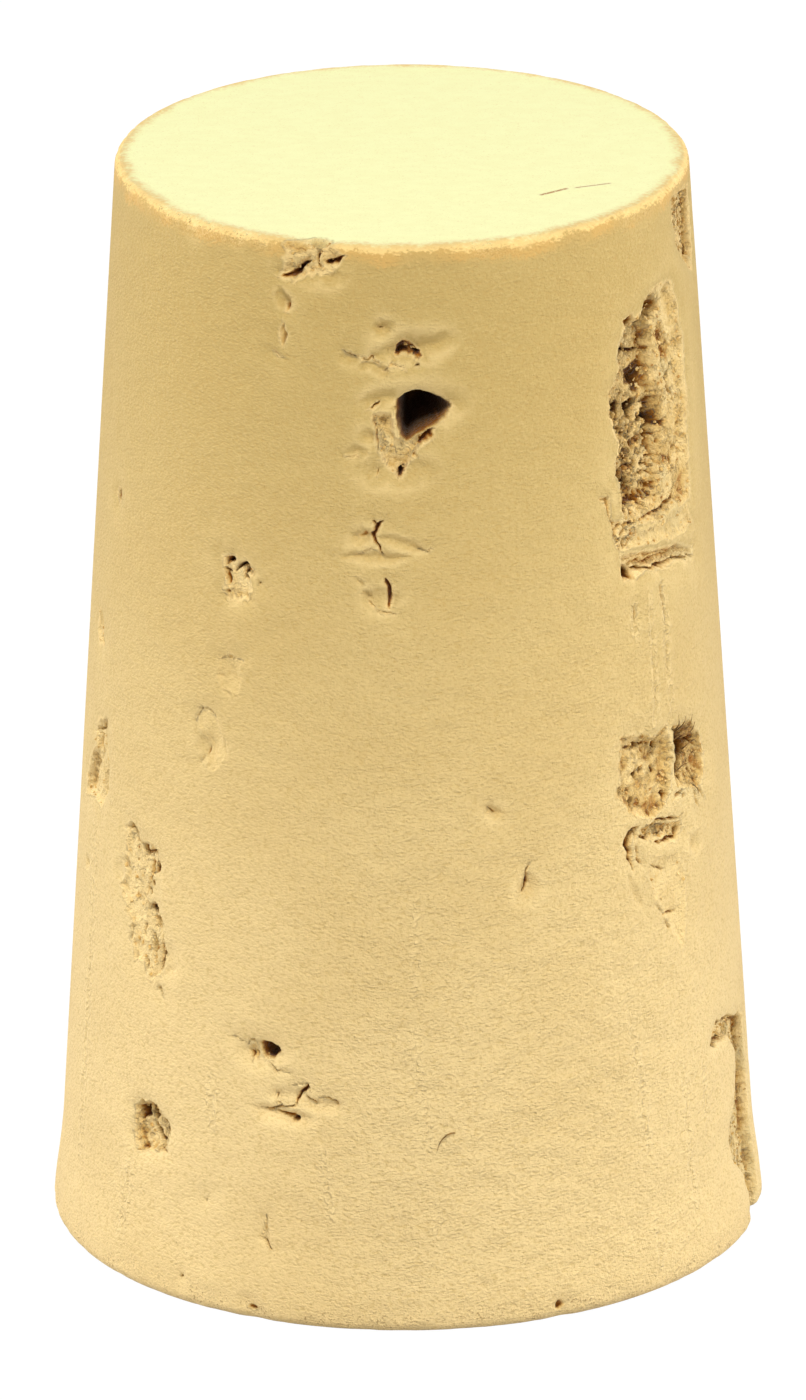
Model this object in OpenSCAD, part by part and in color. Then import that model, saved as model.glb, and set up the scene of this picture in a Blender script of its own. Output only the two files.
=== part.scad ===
// A tapered stopper cut from one piece of natural cork, standing on its wide end.
// The bark's open pores show as ragged pits in the turned skin.
// Azimuth 0 faces -Y and grows towards +X, and heights are measured from the wide end.

/* [Cork] */
// Diameter across the foot, at the wide end
wide_d = 22.5; // [20:0.5:28]
// Diameter at the narrow end
narrow_d = 17.8; // [14:0.2:19.6]
// Length from end to end
length = 35; // [28:1:44]
// How far the foot swells past the straight taper
foot_swell = 0.15; // [0:0.05:0.3]
// Height at which the swelling has died away
foot_height = 2.8; // [2:0.2:4]

/* [Rims] */
// Rounding of the narrow end's rim
narrow_rim = 0.3; // [0.2:0.05:0.8]
// Rounding of the wide end's rim
wide_rim = 0.4; // [0.2:0.05:0.8]

/* [Pits] */
// Depth of the pits against their listed depths
pit_depth = 1; // [0.6:0.1:1.2]
// Raggedness of the pits' outlines and floors
raggedness = 1; // [0:0.25:1.5]
// Size of the crumbs that the pits' floors are broken into
crumb = 0.42; // [0.4:0.02:0.8]

/* [Hidden] */

wide_r = wide_d / 2;
narrow_r = narrow_d / 2;
taper = atan((wide_r - foot_swell - narrow_r) / (length - wide_rim));
cork_colour = [0.87, 0.75, 0.51];

// The pits are listed for a cork of this length and foot, and follow it when it is resized.
listed_length = 35;
listed_wide_d = 22.5;
along = length / listed_length;
across = wide_d / listed_wide_d;

// Each pit is [azimuth, height, width, tall, depth, lean], in degrees and millimetres.
// Lean turns it anticlockwise as seen from outside.

// Large pores that the cut laid open along the right flank
upper_trough = [
    [56, 28.2, 4, 7.2, 0.75, 0],
    [59, 31.5, 2.4, 1.3, 1.4, -6],
    [54, 28.4, 1.6, 1.2, 1.6, -12],
    [56, 29.8, 1.6, 0.8, 1.3, 8],
    [49.5, 26.1, 1, 1, 1.5, 0],
    [61, 27, 1.4, 1.6, 1.1, 20],
    [57, 23.6, 4.1, 0.8, 1.1, -9],
    [46.5, 23.6, 0.8, 0.7, 1.4, 0],
    [50, 24.6, 2.4, 1.2, 0.4, 0],
    [45.5, 24.9, 1, 1, 0.35, 0],
    [41.5, 25.7, 0.9, 0.6, 0.3, -40],
    [56, 22.2, 0.3, 1, 0.3, -8],
    [47.7, 22.2, 0.3, 0.6, 0.3, 0],
];
middle_trough = [
    [50, 16.8, 3, 3, 0.6, 0],
    [62, 16.9, 2.1, 2.2, 1.8, -14],
    [52, 14.9, 2.4, 0.7, 0.9, -6],
    [44, 14.7, 0.8, 1.2, 0.9, 24],
    [53, 12.7, 1.9, 3.4, 0.35, 14],
    [45.7, 16.3, 0.5, 0.5, 0.9, 0],
    [60, 16.6, 1, 1, 2.2, 0],
];
foot_groove = [
    [80.5, 3.2, 2.5, 7.8, 1, 0],
    [72, 7.2, 3.4, 0.7, 0.7, 4],
    [65.5, 7.1, 0.7, 0.6, 0.9, 20],
    [72.5, 3.4, 1.3, 1.5, 0.6, -20],
];
shoulder_pore = [
    [79, 32.9, 3.2, 3, 0.6, 0],
];
left_trough = [
    [-55, 13.5, 2.2, 2.2, 0.35, 0],
    [-52, 11.6, 1.8, 2.6, 0.4, 8],
    [-49.5, 12.5, 0.9, 0.5, 0.9, -20],
    [-48, 11.1, 0.5, 1.3, 0.7, 0],
    [-73, 16.6, 1.9, 2.1, 0.4, 15],
];
// Pores that meet the front square on
front_pores = [
    [3, 29.7, 1.9, 1.5, 3, 15],
    [-4, 28.9, 1.3, 2.3, 0.45, 0],
    [1, 31.7, 1.4, 0.8, 0.7, 8],
    [-5, 32.3, 0.8, 0.8, 0.3, 0],
    [-33, 24.1, 1.2, 1.2, 0.6, 0],
    [-49, 5.5, 1.9, 1.5, 1.3, -20],
    [-24.8, 9, 0.8, 0.7, 1, 0],
    [-27.5, 8.8, 0.6, 0.7, 0.35, 0],
    [-22, 8.3, 0.9, 0.3, 0.3, 6],
    [-21, 7, 1.5, 0.6, 0.5, 12],
    [-18, 7.6, 0.6, 0.9, 0.6, -20],
    [-14, 7.5, 0.8, 0.4, 0.25, 0],
    [-24.1, 3, 0.3, 1.2, 0.35, 8],
    [-38.5, 18.6, 0.6, 1.5, 0.25, 8],
    [-33.8, 20.8, 0.7, 1, 0.2, 0],
    [22, 14.5, 0.6, 0.9, 0.35, 0],
    [16, 16.8, 0.6, 0.4, 0.25, 0],
];
// Creases where the cork tore instead of cutting
creases = [
    [-5, 25.7, 0.5, 1.3, 0.6, 10],
    [-3, 24, 0.5, 1.3, 0.7, 4],
    [0, 25.6, 1.5, 0.4, 0.3, -8],
    [-25, 32, 0.6, 1.3, 0.35, 0],
    [-25, 33.3, 0.4, 0.6, 0.3, 0],
    [-8, 31.7, 0.8, 0.5, 0.25, 0],
    [-3.5, 32.5, 0.4, 0.6, 0.25, 0],
];
// Chips out of the two rims
rim_chips = [
    [-20, 34.2, 1.8, 0.8, 0.6, 14],
    [-14, 34.5, 1, 0.6, 0.5, 8],
    [25, 0.3, 0.6, 1, 0.5, 0],
    [-26, 0.3, 0.5, 0.5, 0.4, 0],
];
// Pores round the back
back_pores = [
    [118, 21, 1.6, 2.4, 0.6, 10],
    [134, 27.5, 0.9, 0.9, 0.7, 0],
    [152, 12.4, 1.3, 1, 0.9, -12],
    [171, 24.2, 1.7, 1.1, 0.8, 8],
    [196, 6.5, 1.2, 0.8, 0.7, 0],
    [213, 17.5, 0.8, 1.3, 0.6, -6],
    [236, 28.6, 1.4, 1.1, 0.5, 14],
    [250, 9.2, 1.7, 2.8, 0.45, 0],
];
pits = concat(upper_trough, middle_trough, foot_groove, shoulder_pore, left_trough,
              front_pores, creases, rim_chips, back_pores);

// Radius of the turned skin at a height, rims left out
function skin(z) = let (rise = max(z - wide_rim, 0), share = min(rise / foot_height, 1))
    wide_r - rise * tan(taper) - foot_swell * (1 - cos(180 * share)) / 2;

function arc(centre, r, from, to, steps = 5) = [for (i = [0:steps])
    let (a = from + (to - from) * i / steps) centre + r * [cos(a), sin(a)]];

function on_skin(azimuth, z, sink) = let (r = skin(z) - sink) [r * sin(azimuth), -r * cos(azimuth), z];

// A repeatable number from -1 to 1
function jitter(seed, n) = let (x = 1000 * sin(seed * 57.3 + n * 131.7)) 2 * (x - floor(x)) - 1;

// How far a pit's outline strays from a plain oval at angle a
function ragged(a, seed) = 1 + raggedness * (0.09 * sin(2 * a + 77 * seed)
    + 0.07 * sin(3 * a + 131 * seed) + 0.05 * sin(5 * a + 53 * seed));

// The turned blank: a straight taper with a swollen foot and rounded rims
module blank() {
    foot_steps = 4;
    foot = [for (i = [1:foot_steps]) let (z = wide_rim + foot_height * i / foot_steps) [skin(z), z]];
    shoulder = length - narrow_rim;
    rotate_extrude($fn = 180)
        polygon(concat([[0, 0]],
            arc([wide_r - wide_rim, wide_rim], wide_rim, -90, 0),
            foot,
            arc([skin(shoulder) - narrow_rim, shoulder], narrow_rim, taper, 90),
            [[0, length]]));
}

// The hollow of one pit: a floor broken into crumbs, its walls, and a lid proud of the skin
module pit(azimuth, height, width, tall, depth, lean, seed) {
    proud = 0.9;
    edge_depth = 0.35;
    squareness = 0.4;
    across_count = max(3, ceil(width / crumb));
    tall_count = max(3, ceil(tall / crumb));
    radius = skin(height * along);

    // A place on the pit, from -1 to 1 both ways, carried to the cork at a depth
    function spot(s, t, sink) =
        let (round = 0.5 * (1 - squareness) + 0.15,
             u = s * sqrt(1 - round * t * t),
             v = t * sqrt(1 - round * s * s),
             stray = ragged(atan2(v, u), seed) / 2,
             x = (u * width * cos(lean) - v * tall * sin(lean)) * stray * across,
             z = (height + (u * width * sin(lean) + v * tall * cos(lean)) * stray) * along)
        on_skin(azimuth + x / radius * 180 / PI, z, sink);

    function floor_sink(s, t, n) =
        let (edge = max(abs(s), abs(t)), rough = 1 + 0.3 * raggedness * jitter(seed, n))
        depth * pit_depth * across * rough * (1 - (1 - edge_depth) * pow(edge, 3));

    steps = [for (j = [0:tall_count], i = [0:across_count])
        [2 * i / across_count - 1, 2 * j / tall_count - 1]];
    row = across_count + 1;
    last = row * (tall_count + 1) - 1;
    // The rim's places in order, anticlockwise as seen from outside
    rim = concat(
        [for (i = [0:across_count - 1]) i],
        [for (j = [0:tall_count - 1]) across_count + j * row],
        [for (i = [0:across_count - 1]) last - i],
        [for (j = [0:tall_count - 1]) last - across_count - j * row]);
    count = len(rim);
    lid = last + 1;
    lid_centre = lid + count;

    points = concat(
        [for (n = [0:last]) spot(steps[n][0], steps[n][1], floor_sink(steps[n][0], steps[n][1], n))],
        [for (n = rim) spot(steps[n][0], steps[n][1], -proud)],
        [spot(0, 0, -proud)]);
    floor_faces = [for (j = [0:tall_count - 1], i = [0:across_count - 1])
        let (n = j * row + i) each [[n, n + 1, n + row + 1], [n, n + row + 1, n + row]]];
    wall_faces = [for (k = [0:count - 1])
        let (next = (k + 1) % count)
        each [[rim[k], lid + k, lid + next], [rim[k], lid + next, rim[next]]]];
    lid_faces = [for (k = [0:count - 1]) [lid_centre, lid + (k + 1) % count, lid + k]];
    polyhedron(points, concat(floor_faces, wall_faces, lid_faces), convexity = 6);
}

module stopper() {
    color(cork_colour)
        difference() {
            blank();
            for (i = [0:len(pits) - 1])
                let (p = pits[i]) pit(p[0], p[1], p[2], p[3], p[4], p[5], seed = i + 1);
        }
}

stopper();
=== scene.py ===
# %% [markdown]
# # A cork stopper
# A tapered stopper is turned from one piece of oak bark. Its skin is sanded smooth, and the bark's own
# breathing pores, the lenticels, break through it as ragged brown pits. This lesson dresses the plain
# CAD stopper: the skin is drawn flat, cut with every pore, and wrapped round the cork by a node tree.
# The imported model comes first, because it fixes the stopper's size and place.

# %% Open the frame
import math

import bmesh
import bpy
import numpy as np
from mathutils import Matrix, Vector


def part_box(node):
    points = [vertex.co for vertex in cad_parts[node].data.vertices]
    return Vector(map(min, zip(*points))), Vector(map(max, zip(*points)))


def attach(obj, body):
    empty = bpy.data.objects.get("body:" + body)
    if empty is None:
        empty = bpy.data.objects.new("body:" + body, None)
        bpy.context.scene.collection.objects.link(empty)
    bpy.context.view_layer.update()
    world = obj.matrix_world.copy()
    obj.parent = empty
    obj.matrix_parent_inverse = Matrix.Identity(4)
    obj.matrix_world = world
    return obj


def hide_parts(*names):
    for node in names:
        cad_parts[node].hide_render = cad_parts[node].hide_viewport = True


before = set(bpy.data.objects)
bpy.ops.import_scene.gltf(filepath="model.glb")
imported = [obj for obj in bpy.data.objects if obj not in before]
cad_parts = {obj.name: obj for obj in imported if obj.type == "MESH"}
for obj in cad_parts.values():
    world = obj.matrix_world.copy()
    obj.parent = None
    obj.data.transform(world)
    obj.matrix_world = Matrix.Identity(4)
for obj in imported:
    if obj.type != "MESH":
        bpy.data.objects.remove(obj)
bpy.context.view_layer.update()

MM = 0.001
cork_low, cork_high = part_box("stopper")
print("The stopper measures", [round(side / MM, 2) for side in cork_high - cork_low], "mm")

# %% [markdown]
# ## The turned profile
# The cork's outline is a straight taper with a slightly swollen foot and two rounded rims. A profile like
# this could be spun with the Screw modifier. Here it is kept as a handful of lengths, measured along the
# profile from the middle of the wide end to the middle of the narrow one, so that a flat drawing of the
# skin and the round cork agree on where each thing lies.

# %% Lengths along the profile, in millimetres
LENGTH = (cork_high.z - cork_low.z) / MM
CLEARANCE = 0.01
cork_across = min(cork_high.x - cork_low.x, cork_high.y - cork_low.y) / MM
FOOT_RADIUS = cork_across / 2 - CLEARANCE
FOOT_SWELL = 0.15
FOOT_HEIGHT = 3.2
WIDE_RADIUS = FOOT_RADIUS - FOOT_SWELL
NARROW_RADIUS = 8.9
WIDE_RIM = 0.4
NARROW_RIM = 0.3
TAPER = math.atan((WIDE_RADIUS - NARROW_RADIUS) / LENGTH)


def rounding(radius, turn):
    """How much of each side a rounded corner uses up, and the length of its arc."""
    return radius * math.tan(turn / 2), radius * turn


foot_trim, foot_arc = rounding(WIDE_RIM, math.pi / 2 + TAPER)
top_trim, top_arc = rounding(NARROW_RIM, math.pi / 2 - TAPER)
WALL = LENGTH / math.cos(TAPER)
FOOT_EDGE = WIDE_RADIUS - foot_trim
WALL_START = FOOT_EDGE + foot_arc
WALL_END = WALL_START + WALL - foot_trim - top_trim
TOP_EDGE = WALL_END + top_arc
PROFILE = TOP_EDGE + NARROW_RADIUS - top_trim
GIRTH = math.pi * (WIDE_RADIUS + NARROW_RADIUS)


def height_of(distance):
    """Height on the wall of a distance along the profile."""
    return (distance - WALL_START + foot_trim) * math.cos(TAPER)


def radius_at(height):
    """Radius of the straight wall at a height."""
    return WIDE_RADIUS - height * math.tan(TAPER)


print(f"The profile is {PROFILE:.1f} mm long and the skin about {GIRTH:.1f} mm round")

# %% [markdown]
# ## Roughness that repeats the same way each time
# Cork never tears along a clean line. Two kinds of seeded noise roughen it: soft blobs, which push
# outlines about, and crumbs, which break a torn floor into grains. Both run right round the cork, so they
# meet at the back without a seam. Each keeps a table of random numbers, ROWS long, and a fixed seed. FAR
# stands for a distance larger than any that matters.

# %% Blobs and crumbs
ROWS = 512
FAR = 9.0


def blobs(azimuth, height, size, seed):
    """Smooth random numbers from -1 to 1, in blobs about `size` mm across."""
    around = round(GIRTH / size)
    table = np.random.default_rng(seed).uniform(-1, 1, (around, ROWS))
    across, up = (azimuth / 360 + 0.5) * around, height / size
    i, j = np.floor(across).astype(int), np.floor(up).astype(int)
    s, t = across - i, up - j
    s, t = s * s * (3 - 2 * s), t * t * (3 - 2 * t)
    i, i_next, j, j_next = i % around, (i + 1) % around, j % ROWS, (j + 1) % ROWS
    low = table[i, j] * (1 - s) + table[i_next, j] * s
    high = table[i, j_next] * (1 - s) + table[i_next, j_next] * s
    return low * (1 - t) + high * t


def crumbs(azimuth, height, size, seed):
    """0 in the middle of each crumb, rising to 1 in the gaps between them."""
    around = round(GIRTH / size)
    shift_across, shift_up = np.random.default_rng(seed).uniform(0.1, 0.9, (2, around, ROWS))
    across, up = (azimuth / 360 + 0.5) * around, height / size
    i, j = np.floor(across).astype(int), np.floor(up).astype(int)
    nearest = np.full(across.shape, FAR)
    for step_across in (-1, 0, 1):
        for step_up in (-1, 0, 1):
            a, b = i + step_across, j + step_up
            gap_across = across - a - shift_across[a % around, b % ROWS]
            gap_up = up - b - shift_up[a % around, b % ROWS]
            nearest = np.minimum(nearest, np.hypot(gap_across, gap_up))
    return np.clip(nearest, 0, 1)


def ramp(value):
    """Eases from 0 to 1 as the value goes from 0 to 1."""
    value = np.clip(value, 0, 1)
    return value * value * (3 - 2 * value)


print(round(GIRTH / 0.5), "blobs of half a millimetre fit round the cork")

# %% [markdown]
# ## One kind of mark
# Every pore, crease, crack, chip and dent on the skin is the same thing: an outline, a depth, and a wall
# that is steep on a broken edge or wide and soft on a dent. Writing them as one class keeps the cutting in
# one place. A mark's points are (azimuth in degrees, height in mm), with azimuth 0 at the front. `torn`
# says how raw its floor is, `ragged` how far its outline strays, `crumb` how far its floor is broken up,
# `stain` how brown it is, and `sag` how far sanding wore the skin down around it.

# %% The mark
class Mark:
    """An outline on the skin, or a line `width` mm wide, sunk by `depth` mm."""

    def __init__(self, points, depth, wall, width=None, torn=1.0, ragged=1.0, crumb=0.0, stain=0.25,
                 sag=0.1):
        self.points = np.array(points, float)
        self.depth, self.wall, self.width = depth, wall, width
        self.torn, self.ragged, self.crumb, self.stain, self.sag = torn, ragged, crumb, stain, sag
        self.middle = (self.points.min(0) + self.points.max(0)) / 2
        self.mm_per_degree = math.radians(1) * radius_at(self.middle[1])
        self.reach = np.ptp(self.points, axis=0) / 2 + (1 / self.mm_per_degree, 1)

    def near(self, azimuth, height):
        """Picks the places within about a millimetre of the mark, close enough for it to touch."""
        from_middle = (azimuth - self.middle[0] + 180) % 360 - 180
        return (np.abs(from_middle) < self.reach[0]) & (np.abs(height - self.middle[1]) < self.reach[1])

    def distance(self, azimuth, height):
        """Millimetres to the mark's edge, less than 0 inside it."""
        across = ((azimuth - self.middle[0] + 180) % 360 - 180) * self.mm_per_degree
        up = height - self.middle[1]
        points = (self.points - self.middle) * (self.mm_per_degree, 1)
        ends = np.roll(points, -1, axis=0)
        if self.width is not None:
            points, ends = points[:-1], ends[:-1]
        nearest, inside = np.full(across.shape, FAR), np.zeros(across.shape, bool)
        for count, ((x0, y0), (x1, y1)) in enumerate(zip(points, ends)):
            run, rise = x1 - x0, y1 - y0
            along = np.clip(((across - x0) * run + (up - y0) * rise) / (run * run + rise * rise), 0, 1)
            gap = np.hypot(across - x0 - along * run, up - y0 - along * rise)
            if self.width is None:
                inside ^= ((y0 > up) != (y1 > up)) & (across < x0 + run * (up - y0) / (rise or 1e-9))
            else:
                place = (count + along) / len(points)
                gap = gap - self.width / 2 * np.sqrt(1 - 0.9 * (2 * place - 1) ** 2)
            nearest = np.minimum(nearest, gap)
        return np.where(inside, -nearest, nearest)

# %% [markdown]
# ## Names for the common marks
# Every mark is one of six sorts: a torn hollow of any outline, an oval hole, a soft dent, a crack, a flake
# where only the surface came off, and a shallow groove. A short name for each sets what its sort has in
# common, so that the lists below hold places and sizes and little else.

# %% Six sorts of mark
def spot(azimuth, height, width, tall, lean=0, corners=12):
    """An oval's corners. Lean turns it anticlockwise, in degrees."""
    turn, corner = math.radians(lean), []
    for step in range(corners):
        angle = math.tau * step / corners
        x, y = width / 2 * math.cos(angle), tall / 2 * math.sin(angle)
        across = x * math.cos(turn) - y * math.sin(turn)
        up = x * math.sin(turn) + y * math.cos(turn)
        corner.append((azimuth + math.degrees(across / radius_at(height)), height + up))
    return corner


def hollow(points, depth, wall=0.16, **more):
    """A torn hollow with any outline."""
    return Mark(points, depth, wall, **more)


def hole(azimuth, height, width, tall, depth, lean=0, stain=1.0):
    """A brown oval hole."""
    return Mark(spot(azimuth, height, width, tall, lean), depth, min(width, tall) * 0.4, stain=stain)


def dent(azimuth, height, width, tall, depth, lean=0):
    """A soft oval dip in sound skin."""
    return Mark(spot(azimuth, height, width, tall, lean), depth, min(width, tall) / 2, torn=0, ragged=1.2)


def crack(points, width, depth, stain=0.9):
    """A torn line that thins towards its ends."""
    return Mark(points, depth, width / 2, width=width, ragged=1.1, stain=stain, sag=0.08)


def flake(points, depth=0.05):
    """A patch where only the surface came off."""
    return Mark(points, depth, 0.1, torn=0.2, stain=0.1, sag=0.05)


def groove(points, width, depth):
    """A shallow line in sound skin."""
    return Mark(points, depth, width / 2, width=width, torn=0, ragged=0.8)


to_edge = -hole(0, 20, 1, 1, 0.4).distance(np.array([0.0]), np.array([20.0]))[0]
print(f"The middle of a hole 1 mm across is {to_edge:.2f} mm from its edge")

# %% [markdown]
# ## The chipped rim and the dimple under it
# Each pore is read off the real cork as a maker would describe it: an outline a dozen points round, then
# the deeper holes inside it, the cracks that run from it and the soft dent that it sits in. Here the knife
# lifted a few grains out of the narrow rim. The dimple below is a pore that opened only halfway.

# %% Rim chip and dimple
NARROW_RIM_CHIP = [
    hollow([(-25, 33.9), (-24, 34.6), (-22.5, 35.2), (-18, 35.7), (-15, 35.5), (-13.6, 35),
            (-11, 34.7), (-13.5, 34.1), (-17, 33.9), (-21, 33.7)], 0.16, wall=0.3, torn=0.7, ragged=1.4,
           crumb=0.06, stain=0.2),
    crack([(-24.8, 33.75), (-21.5, 34), (-18.7, 34.4)], 0.3, 0.3, stain=0.8),
    hollow([(-23, 34.1), (-20.5, 34.5), (-18.5, 34.7), (-19.5, 34.2), (-21.5, 34)], 0.16, stain=0.45),
    crack([(-17, 34.1), (-16.7, 34.9), (-17.2, 35.4)], 0.2, 0.26, stain=0.7),
    crack([(-15.6, 34.35), (-13.5, 34.45), (-11.6, 34.7)], 0.28, 0.3, stain=0.8),
    hollow(spot(-21.6, 34.95, 1, 0.8), 0.22, wall=0.3, torn=0.9, stain=0.7),
    hollow(spot(-17.4, 35.4, 0.7, 0.5), 0.1, wall=0.2, torn=0.7, stain=0.6),
    dent(-18.4, 34, 2.8, 0.9, 0.16),
    dent(-24.1, 33.1, 0.6, 0.9, 0.2),
    hollow([(-25.6, 32.1), (-25.2, 31.7), (-23.7, 31.5), (-23.1, 32), (-24.2, 32.5)], 0.2, torn=0.5,
           stain=0.5),
    crack([(-26.6, 31.4), (-23.7, 31.25)], 0.12, 0.08, stain=0),
    hole(-23.8, 32.85, 0.2, 0.4, 0.1, stain=0.5),
]
UPPER_DIMPLE = [
    dent(1.5, 31.75, 2.9, 1.4, 0.28, 14),
    dent(5.8, 31.95, 1.7, 0.8, 0.09, 10),
    hollow([(-1.9, 31.65), (-0.6, 31.95), (1.3, 32), (3.3, 31.75), (4.2, 31.5), (2.6, 31.4), (0.7, 31.5),
            (-1.2, 31.4)], 0.22, wall=0.22, ragged=1.6, crumb=0.09, stain=0.85),
    hole(-0.2, 31.6, 0.5, 0.26, 0.2),
    hole(2.4, 31.65, 0.4, 0.2, 0.2),
    hole(2.7, 31.2, 0.22, 0.16, 0.22),
    dent(-3.8, 32.4, 0.9, 0.7, 0.2),
    crack([(-5.2, 32.5), (-3.2, 32.35)], 0.1, 0.08, stain=0.3),
    crack([(-12, 31.65), (-10.3, 31.55), (-8.3, 31.5)], 0.14, 0.12, stain=0.4),
    dent(-10.6, 31.4, 0.8, 0.5, 0.14),
    crack([(-8.3, 31.5), (-6.7, 31.35), (-5.7, 31.45), (-4.2, 31.15)], 0.16, 0.16, stain=0.4),
    dent(-7, 31.2, 0.8, 0.4, 0.16),
    dent(-4.4, 31.05, 0.8, 0.5, 0.18),
    crack([(-3.8, 31), (-1.9, 31.25), (0.7, 31.1)], 0.12, 0.1, stain=0.2),
]
print(len(NARROW_RIM_CHIP), "marks at the rim chip,", len(UPPER_DIMPLE), "at the dimple")

# %% [markdown]
# ## The open pore and the creases under it
# One lenticel meets the front square on and runs straight in, so its hole is dark to the bottom. Below its
# mouth the skin has flaked away. Further down the same pore shows again as two short creases, where the
# cork folded under the blade instead of cutting.

# %% Open pore and creases
DEEP_PORE = [
    hollow([(-1.5, 30.15), (0.4, 30.4), (3.5, 30.45), (6.4, 30.3), (8.8, 30.05), (9.6, 29.85),
            (8.4, 29.5), (6.3, 29.3), (4.4, 29.1), (2.5, 28.9), (0.3, 28.7), (-1.1, 29), (-2, 29.5)],
           2.6, wall=0.45, ragged=0.5, stain=1),
    dent(4, 30, 3, 1.8, 0.2),
    dent(-4.5, 30.15, 1.5, 0.9, 0.24, 20),
    crack([(-7, 29.75), (-5.6, 29.85), (-4.5, 29.95)], 0.16, 0.2, stain=0.7),
    hollow([(-6.4, 29.7), (-2.2, 29.75), (-1.4, 29), (0.6, 28.9), (3.1, 29.05), (5.3, 29.25), (7, 29.4),
            (5, 28.95), (3.1, 28.55), (1.2, 28.1), (-0.1, 27.7), (-1, 27.6), (-3.2, 27.9), (-4.8, 28.35),
            (-5.7, 29)], 0.26, wall=0.2, torn=0.75, crumb=0.08, stain=0.08),
    crack([(-5.6, 29.6), (-5.6, 29.1), (-5.2, 28.55), (-4.8, 28.35)], 0.14, 0.2, stain=0.8),
    crack([(5.5, 29.2), (4, 28.85), (2.8, 28.7)], 0.3, 0.26, stain=0.8),
    crack([(2.4, 28.5), (1.6, 28.2)], 0.16, 0.16, stain=0.7),
    hole(-0.7, 27.8, 0.24, 0.3, 0.3),
    crack([(-4.8, 28), (-4.8, 27.7)], 0.12, 0.12, stain=0.7),
    dent(-1.5, 27.9, 3, 1.4, 0.18),
    dent(-7.2, 28.9, 0.8, 0.7, 0.2),
    dent(-9, 28.45, 0.8, 0.6, 0.14),
    crack([(-11.5, 28.35), (-8.9, 28.3)], 0.1, 0.08, stain=0.2),
]
CREASES = [
    crack([(-3.6, 26.3), (-5, 26.1), (-5.6, 25.85), (-5.1, 25.55), (-3.8, 25.15)], 0.22, 0.28),
    crack([(-5.8, 26.35), (-5, 26.1)], 0.14, 0.16),
    groove([(-4.8, 25.75), (-1.4, 25.65), (1.7, 25.5), (4.1, 25.35)], 0.5, 0.15),
    crack([(2.5, 25.45), (4.2, 25.35), (4.9, 25.45)], 0.1, 0.08, stain=0.4),
    crack([(-9, 25.8), (-5.7, 25.85)], 0.14, 0.1, stain=0.2),
    dent(-7.7, 25.75, 1, 0.7, 0.18),
    crack([(-9.2, 25.2), (-5.4, 25.35)], 0.12, 0.1, stain=0.3),
    dent(-5, 25.1, 2.6, 0.5, 0.18),
    crack([(-3.5, 24.55), (-3.2, 24.2), (-2.9, 23.8), (-2.6, 23.45)], 0.24, 0.3),
    crack([(-2.9, 24), (-2.2, 23.6)], 0.12, 0.1, stain=0.6),
    groove([(-9.1, 24.4), (-7.5, 24.2)], 0.24, 0.14),
    groove([(-7.9, 24.05), (-6.1, 23.75)], 0.26, 0.16),
    crack([(-7, 23.7), (-5.1, 23.55)], 0.12, 0.1, stain=0.3),
    crack([(-5.7, 23.5), (-3, 23.35), (-1.2, 23.35)], 0.12, 0.12, stain=0.5),
    dent(-4.5, 23.75, 1.6, 1, 0.16),
]
print(len(DEEP_PORE), "marks at the open pore,", len(CREASES), "at the creases")

# %% [markdown]
# ## Small pores and flakes
# Most pores are about a millimetre across. Some are cracked open, some are only a patch where the surface
# flaked off, and each needs a few marks, because a single oval hole looks drilled.

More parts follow.
